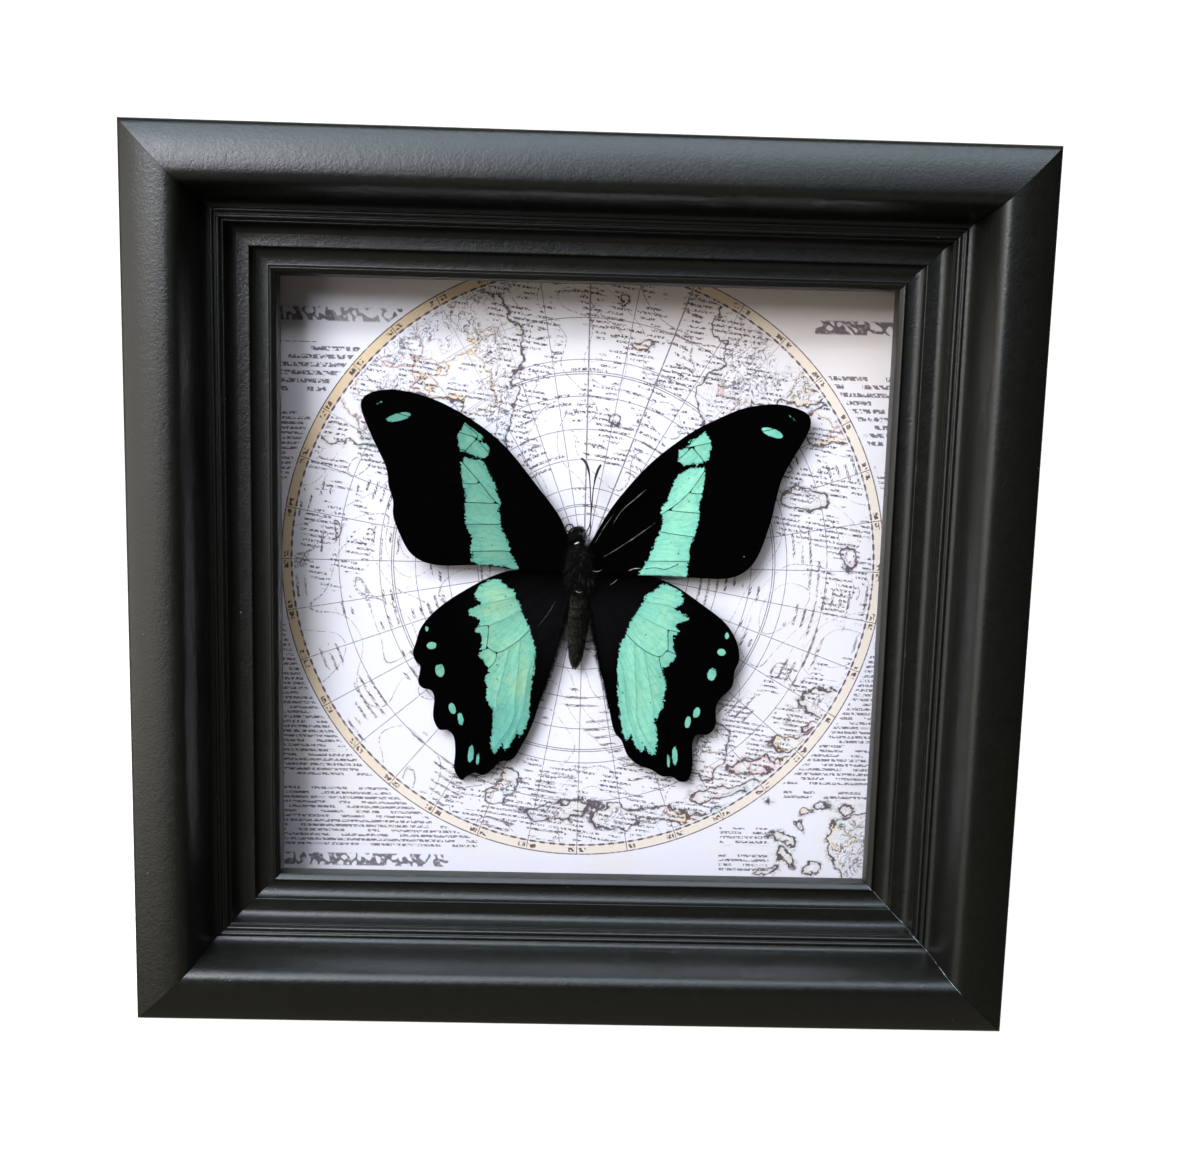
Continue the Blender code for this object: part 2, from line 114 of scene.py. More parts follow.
# %% Piece helper
def new_piece(name, points, faces, materials, sharp=40, attributes=None, face_slots=None):
    """Adds a mesh from millimetre points, riding on the model's one body."""
    mesh = bpy.data.meshes.new(name)
    mesh.from_pydata(world(points).tolist(), [], [list(map(int, face)) for face in faces])
    for material in materials:
        mesh.materials.append(material)
    if face_slots is not None:
        mesh.polygons.foreach_set("material_index", np.asarray(face_slots, np.int32))
    for label, values in (attributes or {}).items():
        values = np.asarray(values, np.float32)
        kind = "FLOAT_VECTOR" if values.ndim == 2 else "FLOAT"
        field = "vector" if values.ndim == 2 else "value"
        mesh.attributes.new(label, kind, "POINT").data.foreach_set(field, values.ravel())
    mesh.shade_smooth()
    if sharp:
        mesh.set_sharp_from_angle(angle=math.radians(sharp))
    piece = bpy.data.objects.new(name, mesh)
    bpy.context.scene.collection.objects.link(piece)
    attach(piece, "root")
    print(f"{name}: {len(points)} points, {len(mesh.polygons)} faces")
    return piece


def ring_faces(rings, count, wrap=True, first=0):
    """Quads between neighbouring rings of count points."""
    faces = []
    for ring in range(rings - 1):
        start = first + ring * count
        for index in range(count if wrap else count - 1):
            after = (index + 1) % count
            faces.append((start + index, start + after, start + count + after, start + count + index))
    return faces


# %% [markdown]
# ## Wiring nodes with arithmetic
# A material is a net of small nodes. Written out one link at a time, even a short formula
# fills a page. A Wire stands for one output socket, and adding or multiplying Wires adds
# the Math node and its links, so that a formula reads as a formula.


# %% Node helpers
class Wire:
    """One output socket. Arithmetic on it adds Math nodes to its tree."""

    def __init__(self, tree, socket):
        self.tree = tree
        self.socket = socket

    def __add__(self, other):
        return self.tree.math("ADD", self, other)

    def __radd__(self, other):
        return self.tree.math("ADD", other, self)

    def __sub__(self, other):
        return self.tree.math("SUBTRACT", self, other)

    def __rsub__(self, other):
        return self.tree.math("SUBTRACT", other, self)

    def __mul__(self, other):
        return self.tree.math("MULTIPLY", self, other)

    def __truediv__(self, other):
        return self.tree.math("DIVIDE", self, other)

    def __rtruediv__(self, other):
        return self.tree.math("DIVIDE", other, self)


class Tree:
    """Adds nodes to a material or a node group and wires them up."""

    def __init__(self, owner):
        self.owner = owner

    def connect(self, value, socket):
        if isinstance(value, Wire):
            self.owner.links.new(value.socket, socket)
        else:
            socket.default_value = value

    def node(self, kind, inputs=None, **settings):
        made = self.owner.nodes.new("ShaderNode" + kind)
        for name, value in settings.items():
            setattr(made, name, value)
        for name, value in (inputs or {}).items():
            self.connect(value, made.inputs[name])
        return made

    def out(self, kind, inputs=None, output=0, **settings):
        return Wire(self, self.node(kind, inputs, **settings).outputs[output])

    def math(self, operation, *values):
        return self.out("Math", dict(enumerate(values)), operation=operation)

    def vector(self, operation, *values):
        return self.out("VectorMath", dict(enumerate(values)), operation=operation)

    def scale(self, vector, factor):
        return self.out("VectorMath", {0: vector, "Scale": factor}, operation="SCALE")

    def step(self, value, start, end):
        """0 below start, 1 above end, smooth between. It falls where end is lower."""
        inputs = {0: value, 1: start, 2: end}
        return self.out("MapRange", inputs, interpolation_type="SMOOTHSTEP")

    def mix(self, share, colour, other):
        inputs = {0: share, 6: colour, 7: other}
        return self.out("Mix", inputs, output=2, data_type="RGBA")

    def xyz(self, vector):
        made = self.node("SeparateXYZ", {0: vector})
        return [Wire(self, socket) for socket in made.outputs]

    def join(self, x, y, z=0.0):
        return self.out("CombineXYZ", {0: x, 1: y, 2: z})

    def noise(self, place, scale, detail=2.0, roughness=0.5):
        inputs = {"Vector": place, "Scale": scale, "Detail": detail, "Roughness": roughness}
        return self.out("TexNoise", inputs)

    def cells(self, place, scale):
        return self.out("TexVoronoi", {"Vector": place, "Scale": scale}, output="Distance")

    def attribute(self, name, output="Fac"):
        return self.out("Attribute", output=output, attribute_name=name)

    def millimetres(self):
        """Places on the piece, in millimetres from the middle of the frame's front."""
        place = self.out("TexCoord", output="Object")
        return self.vector("MULTIPLY", self.vector("SUBTRACT", place, CENTRE), (1 / MM,) * 3)

    def bump(self, height):
        """A normal from a height in millimetres."""
        return self.out("Bump", {"Height": height, "Strength": 1.0, "Distance": MM})


def colour(red, green, blue):
    return (red, green, blue, 1.0)


def new_material(name, build, **constants):
    """A Principled material. build(tree) gives the sockets that vary, by name."""
    material = bpy.data.materials.new(name)
    material.use_nodes = True
    tree = Tree(material.node_tree)
    shader = material.node_tree.nodes["Principled BSDF"]
    for socket, value in {**constants, **build(tree)}.items():
        tree.connect(value, shader.inputs[socket.replace("_", " ")])
    print("material:", name)
    return material


def new_group(name, inputs, outputs, build):
    """A node group. build(tree, *inputs) gives its outputs in order."""
    group = bpy.data.node_groups.new(name, "ShaderNodeTree")
    for label, value in inputs.items():
        kind = "NodeSocketVector" if value is None else "NodeSocketFloat"
        socket = group.interface.new_socket(label, in_out="INPUT", socket_type=kind)
        if value is not None:
            socket.default_value = value
    for label in outputs:
        group.interface.new_socket(label, in_out="OUTPUT", socket_type="NodeSocketFloat")
    tree = Tree(group)
    entry = group.nodes.new("NodeGroupInput")
    leave = group.nodes.new("NodeGroupOutput")
    wires = [Wire(tree, entry.outputs[label]) for label in inputs]
    for label, value in zip(outputs, build(tree, *wires)):
        tree.connect(value, leave.inputs[label])
    print("node group:", name)

    def place_group(into, **values):
        made = into.node("Group", node_tree=group)
        for label, value in values.items():
            into.connect(value, made.inputs[label])
        found = [Wire(into, made.outputs[label]) for label in outputs]
        return found[0] if len(found) == 1 else found

    return place_group


# %% [markdown]
# ## Effects that several finishes share
# Wood, paper, foam and paint all have a fine grain. Paint, metal and scales all carry
# specks. Brushed steel, hardboard and wing bands all have streaks that run one way. Each
# of these is one node group with its own inputs, built once, so that a better grain here
# is a better grain everywhere.


# %% Shared node groups
def build_grain(tree, place, per_mm, depth):
    coarse = tree.noise(place, per_mm * 0.3, 2.0, 0.6)
    fine = tree.noise(place, per_mm, 3.0, 0.7)
    tone = coarse * 0.4 + fine * 0.6
    return [tone, (tone - 0.5) * depth]


def build_specks(tree, place, spacing, radius):
    spread = tree.scale(place, 1.0 / spacing)
    cell = tree.node("TexVoronoi", {"Vector": spread, "Scale": 1.0})
    distance = Wire(tree, cell.outputs["Distance"]) * spacing
    chance = tree.xyz(Wire(tree, cell.outputs["Color"]))[0]
    size = radius * tree.math("MAXIMUM", chance * 1.3 - 0.3, 0.001)
    return [tree.step(distance, size, size * 0.5)]


def build_streaks(tree, place, length, width):
    x, y, z = tree.xyz(place)
    drawn = tree.join(x / length, y / width, z / width)
    return [tree.noise(drawn, 1.0, 4.0, 0.65)]


grain = new_group(
    "fine_grain", {"Place": None, "Per_mm": 2.0, "Depth": 0.01}, ["Tone", "Height"], build_grain
)
specks = new_group("specks", {"Place": None, "Spacing": 5.0, "Radius": 0.2}, ["Mask"], build_specks)
streaks = new_group("streaks", {"Place": None, "Length": 10.0, "Width": 0.3}, ["Tone"], build_streaks)

# %% [markdown]
# ## The four rails
# The real frame is cut from one moulding and joined at 45 degrees. The moulding is an
# outline, so the surest way to make it is to draw that outline once and pull it along
# each side. The solid model has the same outline with few points. Here the curves get
# more points and every corner is rounded a little, as paint rounds it, because a broad
# highlight shows each flat and each knife edge.


# %% Moulding outline
def curve(start, first, second, end, steps):
    """The points of a cubic curve after its start, its end included."""
    t = np.linspace(0, 1, steps + 1)[1:, None]
    corners = [np.array(corner, float) for corner in (start, first, second, end)]
    weights = ((1 - t) ** 3, 3 * t * (1 - t) ** 2, 3 * t**2 * (1 - t), t**3)
    return [tuple(point) for point in sum(w * c for w, c in zip(weights, corners))]


def moulding():
    """(across, back): across from the window's edge outwards, back from the front."""
    rabbet, lip = 6.0, 17.6
    crest, shoulder, flank, foot = (17.2, 0.0), (24.8, 2.2), (13.9, 4.3), (12.2, 10.3)
    ridge, step, arris, quirk = (9.2, 10.8), (7.4, 13.7), (5.1, 13.5), (2.7, 15.2)
    outline = [(rabbet, RAIL_DEPTH), (RAIL_WIDTH, RAIL_DEPTH), (RAIL_WIDTH, 5.2)]
    outline += curve(outline[-1], (RAIL_WIDTH, 3.6), (25.8, 2.7), shoulder, 12)
    outline += curve(shoulder, (22.6, 0.9), (19.6, 0.0), crest, 18)
    outline += curve(crest, (15.1, 0.0), (14.6, 1.9), flank, 18)
    outline += curve(flank, (13.3, 6.7), (13.3, 9.6), foot, 18)
    for middle, height in ((11.35, 10.5), (10.2, 10.6)):
        for turn in np.radians(range(0, 181, 20)):
            outline.append((middle + 0.38 * math.cos(turn), height - 0.38 * math.sin(turn)))
    outline += [(9.5, 11.2), ridge]
    outline += curve(ridge, (9.1, 12.5), (8.6, 13.5), step, 12)
    outline.append(arris)
    outline += curve(arris, (4.95, 14.5), (4.2, 15.15), quirk, 12)
    outline += [(1.8, 15.2), (1.5, 14.2), (1.2, 14.2), (0.35, 15.0), (0.0, lip), (rabbet, lip)]
    return outline


def soften(outline, radius, over=25):
    """Rounds each corner that turns by more than over degrees. Gives the new outline
    and, for each point, how much it belongs to a rounded edge."""
    rounded, edges = [], []
    for index, here in enumerate(outline):
        here = Vector(here)
        back = Vector(outline[index - 1]) - here
        ahead = Vector(outline[(index + 1) % len(outline)]) - here
        if math.degrees(back.angle(-ahead)) < over:
            rounded.append(here)
            edges.append(0.0)
            continue
        start = here + back.normalized() * min(radius, back.length * 0.4)
        end = here + ahead.normalized() * min(radius, ahead.length * 0.4)
        for t in (0.0, 0.25, 0.5, 0.75, 1.0):
            rounded.append(start.lerp(here, t).lerp(here.lerp(end, t), t))
            edges.append(1.0 - abs(2 * t - 1))
    return rounded, edges


outline, edge_marks = soften(moulding(), 0.3)
print("moulding:", len(outline), "points")

# %% [markdown]
# ## Satin black paint
# The paint is sprayed on thickly, so the wood's grain is gone and a faint orange peel is
# left, with a few grains of dust under the skin. Its gloss changes a little from place to
# place. On the corners it has rubbed thin. The back got only a thin coat, through which
# the brown wood shows. All this is one Principled shader: the colour is nearly even, and
# the roughness and a very low bump do the work.


# %% Paint
def build_paint(tree):
    place = tree.millimetres()
    run = tree.attribute("rail_place", "Vector")
    _, back, edge = tree.xyz(tree.attribute("rail_outline", "Vector"))
    tone, height = grain(tree, Place=place, Per_mm=0.9, Depth=0.04)
    fine_tone, fine_height = grain(tree, Place=place, Per_mm=1.8, Depth=0.075)
    dust = specks(tree, Place=place, Spacing=5.0, Radius=0.28)
    wood = streaks(tree, Place=run, Length=14.0, Width=0.35)
    thin = tree.step(back, RAIL_DEPTH - 0.5, RAIL_DEPTH - 0.1) * tree.step(wood, 0.5, 0.75)
    rubbed = edge * tree.step(tone, 0.58, 0.72) * tree.step(fine_tone, 0.42, 0.6)
    wear = tree.math("MAXIMUM", thin * 0.7, rubbed * 0.35)
    black = tree.mix(tone, colour(0.0034, 0.0035, 0.0022), colour(0.0062, 0.0063, 0.0042))
    shade = tree.mix(wear, black, colour(0.09, 0.055, 0.03))
    shade = tree.mix(dust * 0.6, shade, colour(0.2, 0.2, 0.185))
    rough = 0.36 + (tone - 0.5) * 0.16 + (fine_tone - 0.5) * 0.12
    rough = rough + dust * 0.2 + thin * 0.3 + rubbed * 0.2
    relief = height + fine_height + dust * 0.05 + wood * 0.004 + thin * 0.02
    return {"Base Color": shade, "Roughness": rough, "Normal": tree.bump(relief)}


black_paint = new_material("black_paint", build_paint, Specular_IOR_Level=0.5)

# %% [markdown]
# ## Pulling the outline round
# Each rail is the same outline drawn at stations from one mitre to the other. The mitre
# comes out by itself, because a point's reach along the rail is its reach outwards. The
# joint is closed but for a hair's breadth, which shows as a fine line at each corner.

# %% Rails
MITRE_GAP = 0.03
STATIONS = np.linspace(-1, 1, 17)


def new_rail(side, turn):
    points, places, marks = [], [], []
    for share in STATIONS:
        for (across, back), edge in zip(outline, edge_marks):
            reach = HALF_SIGHT + across
            x, z = share * (reach - MITRE_GAP), -reach
            points.append((x * turn[0] + z * turn[1], back, z * turn[0] - x * turn[1]))
            places.append((x, across, back))
            marks.append((across, back, edge))
    count = len(outline)
    faces = ring_faces(len(STATIONS), count)
    faces += [range(count), range(len(points) - 1, len(points) - count - 1, -1)]
    marks = {"rail_place": places, "rail_outline": marks}
    rail = new_piece(f"painted_rail_{side}", points, faces, [black_paint], 35, marks)
    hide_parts(f"rail_{side}")


for side, turn in {"bottom": (1, 0), "left": (0, 1), "top": (-1, 0), "right": (0, -1)}.items():
    new_rail(side, turn)

# %% [markdown]
# ## Glass
# A 2 mm pane rests against the back of the lip. Real glass needs only full transmission
# and a true index of refraction. Lit honestly, it would throw a solid shadow in this
# renderer, so rays of shadow and of scattered light go straight through it. A little
# dust roughens a few tiny spots.


# %% Glass
def build_glass(tree):
    place = tree.millimetres()
    dust = specks(tree, Place=place, Spacing=9.0, Radius=0.07)
    tone = tree.noise(place, 0.04, 2.0)
    clear = tree.mix(tone, colour(0.975, 0.99, 0.982), colour(0.985, 0.992, 0.988))
    return {"Base Color": clear, "Roughness": dust * 0.35}


def let_light_through(material):
    """Shadow rays and scattered rays pass the material as if it were not there."""
    tree = Tree(material.node_tree)
    rays = tree.node("LightPath")
    shadow = Wire(tree, rays.outputs["Is Shadow Ray"])
    scattered = Wire(tree, rays.outputs["Is Diffuse Ray"])
    clear = tree.out("BsdfTransparent")
    shader = material.node_tree.nodes["Principled BSDF"].outputs[0]
    both = {0: tree.math("MAXIMUM", shadow, scattered), 1: Wire(tree, shader), 2: clear}
    surface = material.node_tree.nodes["Material Output"].inputs["Surface"]
    tree.connect(tree.out("MixShader", both), surface)


clear_glass = new_material("clear_glass", build_glass, Transmission_Weight=1.0, IOR=1.5)
let_light_through(clear_glass)


def finish_node(name, material, bevel=0.0):
    """Gives a solid from the model its finish and, where it helps, rounded edges."""
    piece = nodes[name]
    piece.data.materials.clear()
    piece.data.materials.append(material)
    if bevel:
        edge = piece.modifiers.new("rounded edges", "BEVEL")
        edge.width = bevel * MM
        edge.segments = 2
        edge.limit_method = "ANGLE"
    print(name, "->", material.name)


finish_node("glass_pane", clear_glass, 0.15)

# %% [markdown]
# ## Foam strips
# Four strips of black foam line the edge of the window behind the glass and hold it off
# the sheet, so that the butterfly has room. Cut foam shows its pores. Small cells from a
# Voronoi texture, pressed in by the bump, do that better than noise, because pores have
# rims. Each cell is also painted darker towards its middle: painted shade in the hollow.


# %% Foam
def build_foam(tree):
    place = tree.millimetres()
    pore = tree.cells(place, 2.6)
    _, height = grain(tree, Place=place, Per_mm=1.5, Depth=0.08)
    # Darker towards each pore's pressed-in middle: painted shade in the hollows.
    shade = tree.mix(pore, colour(0.006, 0.006, 0.007), colour(0.022, 0.022, 0.023))
    return {"Base Color": shade, "Normal": tree.bump(height + pore * 0.12)}


black_foam = new_material("black_foam", build_foam, Roughness=0.95, Specular_IOR_Level=0.2)
for side in ("bottom", "left", "top", "right"):
    finish_node(f"spacer_{side}", black_foam)

# %% [markdown]
# ## Boards at the back
# The printed sheet lies on a pale board, and a sheet of brown hardboard closes the frame.
# Hardboard is pressed wood fibre: short pale and dark threads in every direction, a few
# darker scorched flecks, and a woven screen's mark on its back. Two sets of streaks that
# cross give the threads. The pale board is the same idea with far less of everything.


# %% Boards
def build_mount_board(tree):
    place = tree.millimetres()
    tone, height = grain(tree, Place=place, Per_mm=1.2, Depth=0.03)
    thread = streaks(tree, Place=place, Length=1.6, Width=0.12)
    shade = tree.mix(tone, colour(0.66, 0.64, 0.58), colour(0.74, 0.72, 0.67))
    shade = tree.mix(thread * 0.4, shade, colour(0.5, 0.47, 0.41))
    return {"Base Color": shade, "Normal": tree.bump(height)}


def build_hardboard(tree):
    place = tree.millimetres()
    x, y, z = tree.xyz(place)
    tone, height = grain(tree, Place=place, Per_mm=0.9, Depth=0.05)
    along = streaks(tree, Place=place, Length=2.4, Width=0.16)
    upward = streaks(tree, Place=tree.join(z, y, x), Length=2.4, Width=0.16)
    scorched = specks(tree, Place=place, Spacing=4.0, Radius=0.5)
    screen = tree.math("SINE", x * 4.2) * tree.math("SINE", z * 4.2)
    shade = tree.mix(tone, colour(0.13, 0.07, 0.034), colour(0.21, 0.125, 0.064))
    shade = tree.mix(tree.step(along, 0.52, 0.72) * 0.6, shade, colour(0.33, 0.22, 0.12))
    shade = tree.mix(tree.step(upward, 0.55, 0.75) * 0.6, shade, colour(0.07, 0.035, 0.018))
    shade = tree.mix(scorched * 0.7, shade, colour(0.035, 0.02, 0.012))
    relief = height + screen * 0.02 + along * 0.04
    rough = 0.55 + tone * 0.3
    return {"Base Color": shade, "Roughness": rough, "Normal": tree.bump(relief)}


mount_board = new_material("mount_board", build_mount_board, Roughness=0.85)
hardboard = new_material("hardboard", build_hardboard)
finish_node("mount_board", mount_board)
finish_node("backing_board", hardboard, 0.2)

# %% [markdown]
# ## Framer's points, hanger and nails
# The points are stamped from thin steel, and the sawtooth hanger from zinc-plated strip.
# Both are brushed along the strip and grey with handling. The nails are brass. A metal's
# colour is its reflection, so the grain goes into roughness and bump, and only stains
# change the colour.


# %% Metals
def build_metal(tree, bright, dull, length):
    place = tree.millimetres()
    brushed = streaks(tree, Place=place, Length=length, Width=0.05)
    tone, height = grain(tree, Place=place, Per_mm=0.8, Depth=0.004)
    stain = tree.step(tone, 0.45, 0.7)
    pits = specks(tree, Place=place, Spacing=1.3, Radius=0.09)
    shade = tree.mix(stain, bright, dull)
    shade = tree.mix(pits * 0.5, shade, colour(0.12, 0.1, 0.08))
    rough = 0.24 + brushed * 0.16 + stain * 0.2 + pits * 0.2
    relief = brushed * 0.006 + height - pits * 0.01
    return {"Base Color": shade, "Roughness": rough, "Normal": tree.bump(relief)}


def build_steel(tree):
    return build_metal(tree, colour(0.5, 0.5, 0.49), colour(0.33, 0.325, 0.315), 6.0)


def build_brass(tree):
    return build_metal(tree, colour(0.62, 0.43, 0.17), colour(0.36, 0.23, 0.1), 0.4)


steel = new_material("steel", build_steel, Metallic=1.0)
brass = new_material("brass", build_brass, Metallic=1.0)
for side in ("bottom", "left", "top", "right"):
    finish_node(f"framers_point_{side}", steel, 0.06)
finish_node("sawtooth_hanger", steel, 0.08)
for side in ("left", "right"):
    finish_node(f"hanger_nail_{side}", brass, 0.08)

# %% [markdown]
# ## An old chart of no real place
# The sheet behind the butterfly is a reproduction of an old engraved chart: a polar net
# of meridians and parallels in a tan ring, coasts with hatched shores, and fine notes in
# the corners. It could be a picture, but a picture blurs when the camera comes close.
# Drawn by nodes it stays sharp. A circle or a line is a distance, and ink is wherever the
# distance is small. The coasts are made up, and the notes are marks that only look like
# writing.


# %% Shared marks of the engraver
def build_ink_line(tree, distance, half_width, rag):
    return [tree.step(tree.math("ABSOLUTE", distance) + rag, half_width + 0.05, half_width - 0.02)]


def build_script_rows(tree, place, pitch, height, shift, wide):
    """Rows of slanted blots or loops, broken into words. They spell nothing."""
    x, y, _ = tree.xyz(place)
    row = tree.math("FLOOR", y / pitch)
    level = (y - row * pitch) / height
    slanted = x / height + level * 0.25 + row * 7.31
    loops = tree.noise(tree.join(slanted * 1.3, level * 1.1 + row * 3.7), 1.0, 1.0, 0.6)
    stroke = tree.step(tree.math("ABSOLUTE", loops - 0.5 - shift), wide, wide - 0.04)
    word = tree.out("TexWhiteNoise", {0: tree.join(tree.math("FLOOR", slanted * 0.24), row)})
    in_row = tree.step(level, 0.0, 0.15) * tree.step(level, 1.1, 0.95)
    return [stroke * in_row * tree.step(word, 0.14, 0.16)]


ink_line = new_group(
    "ink_line", {"Distance": 0.0, "Half_width": 0.08, "Rag": 0.0}, ["Mask"], build_ink_line
)
script_rows = new_group(
    "script_rows",
    {"Place": None, "Pitch": 1.2, "Height": 0.6, "Shift": 0.27, "Wide": 0.31},
    ["Mask"],
    build_script_rows,
)

# %% [markdown]
# ## The polar net
# Seen from above the pole, meridians are spokes, and parallels are circles that stand
# further apart towards the rim: a place at c degrees from the pole lies at R tan(c / 2),
# where R is the equator's radius. Turned round, that gives the degrees from the pole at
# every point of the sheet, and a parallel is drawn wherever they come near a multiple of
# ten. Multiplying by the local millimetres per degree keeps all the lines equally thin.

# %% Net and ring
EQUATOR = 59.0
RING = 61.0
CHART = (0.4, 3.3)
HALF_STEP = 5.0
TROPIC, POLAR_CIRCLE = 66.5, 23.5


def draw_net(tree, x, z, rag):
    """Ink masks of the net and the ring, with the radius and the turn in degrees."""
    radius = tree.math("SQRT", x * x + z * z)
    turn = tree.math("ARCTAN2", x, z) * math.degrees(1)
    colatitude = tree.math("ARCTANGENT", radius / EQUATOR) * (2 * math.degrees(1))
    share = radius / EQUATOR
    per_degree = (share * share + 1.0) * (EQUATOR / 2 * math.radians(1))
    to_spoke = tree.math("PINGPONG", turn, HALF_STEP) * radius * math.radians(1)
    to_circle = tree.math("PINGPONG", colatitude, HALF_STEP) * per_degree
    tropic = (colatitude - TROPIC) * per_degree
    polar = (colatitude - POLAR_CIRCLE) * per_degree
    fine = [(to_spoke, 0.065), (to_circle, 0.065), (tropic - 0.22, 0.08), (tropic + 0.22, 0.08)]
    fine += [(polar - 0.18, 0.07), (polar + 0.18, 0.07)]
    for degrees in (0.0, 20.0):
        away = x * math.cos(math.radians(degrees)) - z * math.sin(math.radians(degrees))
        fine.append((away + tree.step(z, 1.0, -1.0) * 99.0, 0.13))
    net = None
    for distance, half_width in fine:
        line = ink_line(tree, Distance=distance, Half_width=half_width, Rag=rag)
        net = line if net is None else tree.math("MAXIMUM", net, line)
    net = net * tree.step(radius, EQUATOR, EQUATOR - 0.1)
    in_ring = tree.step(radius, EQUATOR, EQUATOR + 0.1) * tree.step(radius, RING + 0.1, RING)
    dash = tree.step(tree.math("PINGPONG", turn, 1.0), 0.38, 0.42)
    ring = ink_line(tree, Distance=radius - EQUATOR, Half_width=0.2, Rag=rag) * dash
    for distance, half_width in ((radius - EQUATOR, 0.05), (radius - RING, 0.1)):
        line = ink_line(tree, Distance=distance, Half_width=half_width, Rag=rag)
        ring = tree.math("MAXIMUM", ring, line)
    tick = ink_line(tree, Distance=to_spoke, Half_width=0.07, Rag=rag)
    figure_place = tree.join(turn * 1.05, radius - EQUATOR - 0.55)
    figures = script_rows(tree, Place=figure_place, Pitch=5.0, Height=0.95)
    figures = figures * tree.step(to_spoke, 1.9, 1.8) * tree.step(to_spoke, 0.3, 0.4)
    ring = tree.math("MAXIMUM", ring, tree.math("MAXIMUM", tick, figures) * in_ring)
    return net, ring, in_ring, radius, turn


print("net:", 2 * HALF_STEP, "degrees to a line, equator", EQUATOR, "mm")

# %% [markdown]
# ## Coasts
# Each land is a few ovals. A cloudy noise first bends the space they are drawn in, with
# wide bends for bays and small ones for inlets, so that the ovals come out as coasts. The
# distance to the nearest shore then gives everything that an engraver adds: the shore
# line, short strokes that shade the water beside it, and a thin wash of colour inside.

# %% Lands
# Middle, half width and half height, from the chart's middle.
LANDS = [
    (-27.0, 44.0, 13.5, 11.0), (-35.0, 52.0, 9.0, 8.0), (-20.0, 33.0, 5.5, 10.0),
    (-48.0, 31.0, 10.0, 7.5), (-40.0, 40.0, 9.0, 8.0),
    (40.0, 42.0, 13.0, 9.0), (33.0, 50.0, 8.0, 8.0), (27.5, 33.0, 5.0, 8.0), (50.0, 29.0, 8.0, 4.0),
    (44.0, 15.5, 4.5, 2.6), (54.0, 2.5, 1.8, 3.0), (-4.0, -51.5, 7.0, 2.0), (8.0, -53.8, 5.5, 2.6),
    (17.0, -51.5, 7.0, 1.8), (-16.0, -47.5, 3.0, 2.6), (25.5, -38.0, 5.0, 6.5),
    (30.0, -47.5, 5.0, 1.5), (37.0, -41.5, 5.5, 1.6), (45.0, -36.0, 5.0, 1.8),
    (51.0, -28.0, 4.8, 2.6), (36.0, -47.0, 3.4, 2.0), (44.5, -41.5, 4.0, 2.2),
    (26.0, -53.0, 4.0, 1.4), (49.0, -33.0, 2.4, 1.1), (6.6, 52.5, 0.9, 0.8), (10.5, 43.5, 1.3, 1.0),
    (4.5, 29.0, 0.9, 1.0), (-50.0, 5.0, 0.9, 1.2), (61.0, -58.0, 9.0, 7.5), (43.0, -57.8, 2.4, 1.0),
    (43.6, -60.8, 1.8, 1.0), (40.2, -63.2, 1.4, 0.9), (48.8, -63.0, 1.6, 1.2),
    (46.8, -54.0, 1.4, 1.3), (48.6, -50.8, 1.3, 1.0), (52.0, -49.6, 1.6, 0.9), (56.5, -49.8, 1.4, 1.0),
]  # fmt: skip
REALMS_PER_MM = 0.085


def shore_distance(tree, place):
    """Millimetres from the nearest shore, positive on land."""
    wide = tree.out("TexNoise", {0: place, "Scale": 0.13, "Detail": 2.0}, output="Color")
    small = tree.out("TexNoise", {0: place, "Scale": 0.7, "Detail": 4.0}, output="Color")
    bent = tree.vector("ADD", place, tree.scale(tree.vector("SUBTRACT", wide, (0.5,) * 3), 9.0))
    bent = tree.vector("ADD", bent, tree.scale(tree.vector("SUBTRACT", small, (0.5,) * 3), 2.6))
    shore = None
    for x, z, wide, tall in LANDS:
        scale = (1 / wide, 1 / tall, 0.0)
        shift = (-x / wide, -z / tall, 0.0)
        moved = tree.vector("MULTIPLY_ADD", bent, scale, shift)
        away = tree.out("VectorMath", {0: moved}, output="Value", operation="LENGTH")
        depth = tree.math("MULTIPLY_ADD", away, -min(wide, tall), min(wide, tall))
        shore = depth if shore is None else tree.math("MAXIMUM", shore, depth)
    return shore, bent


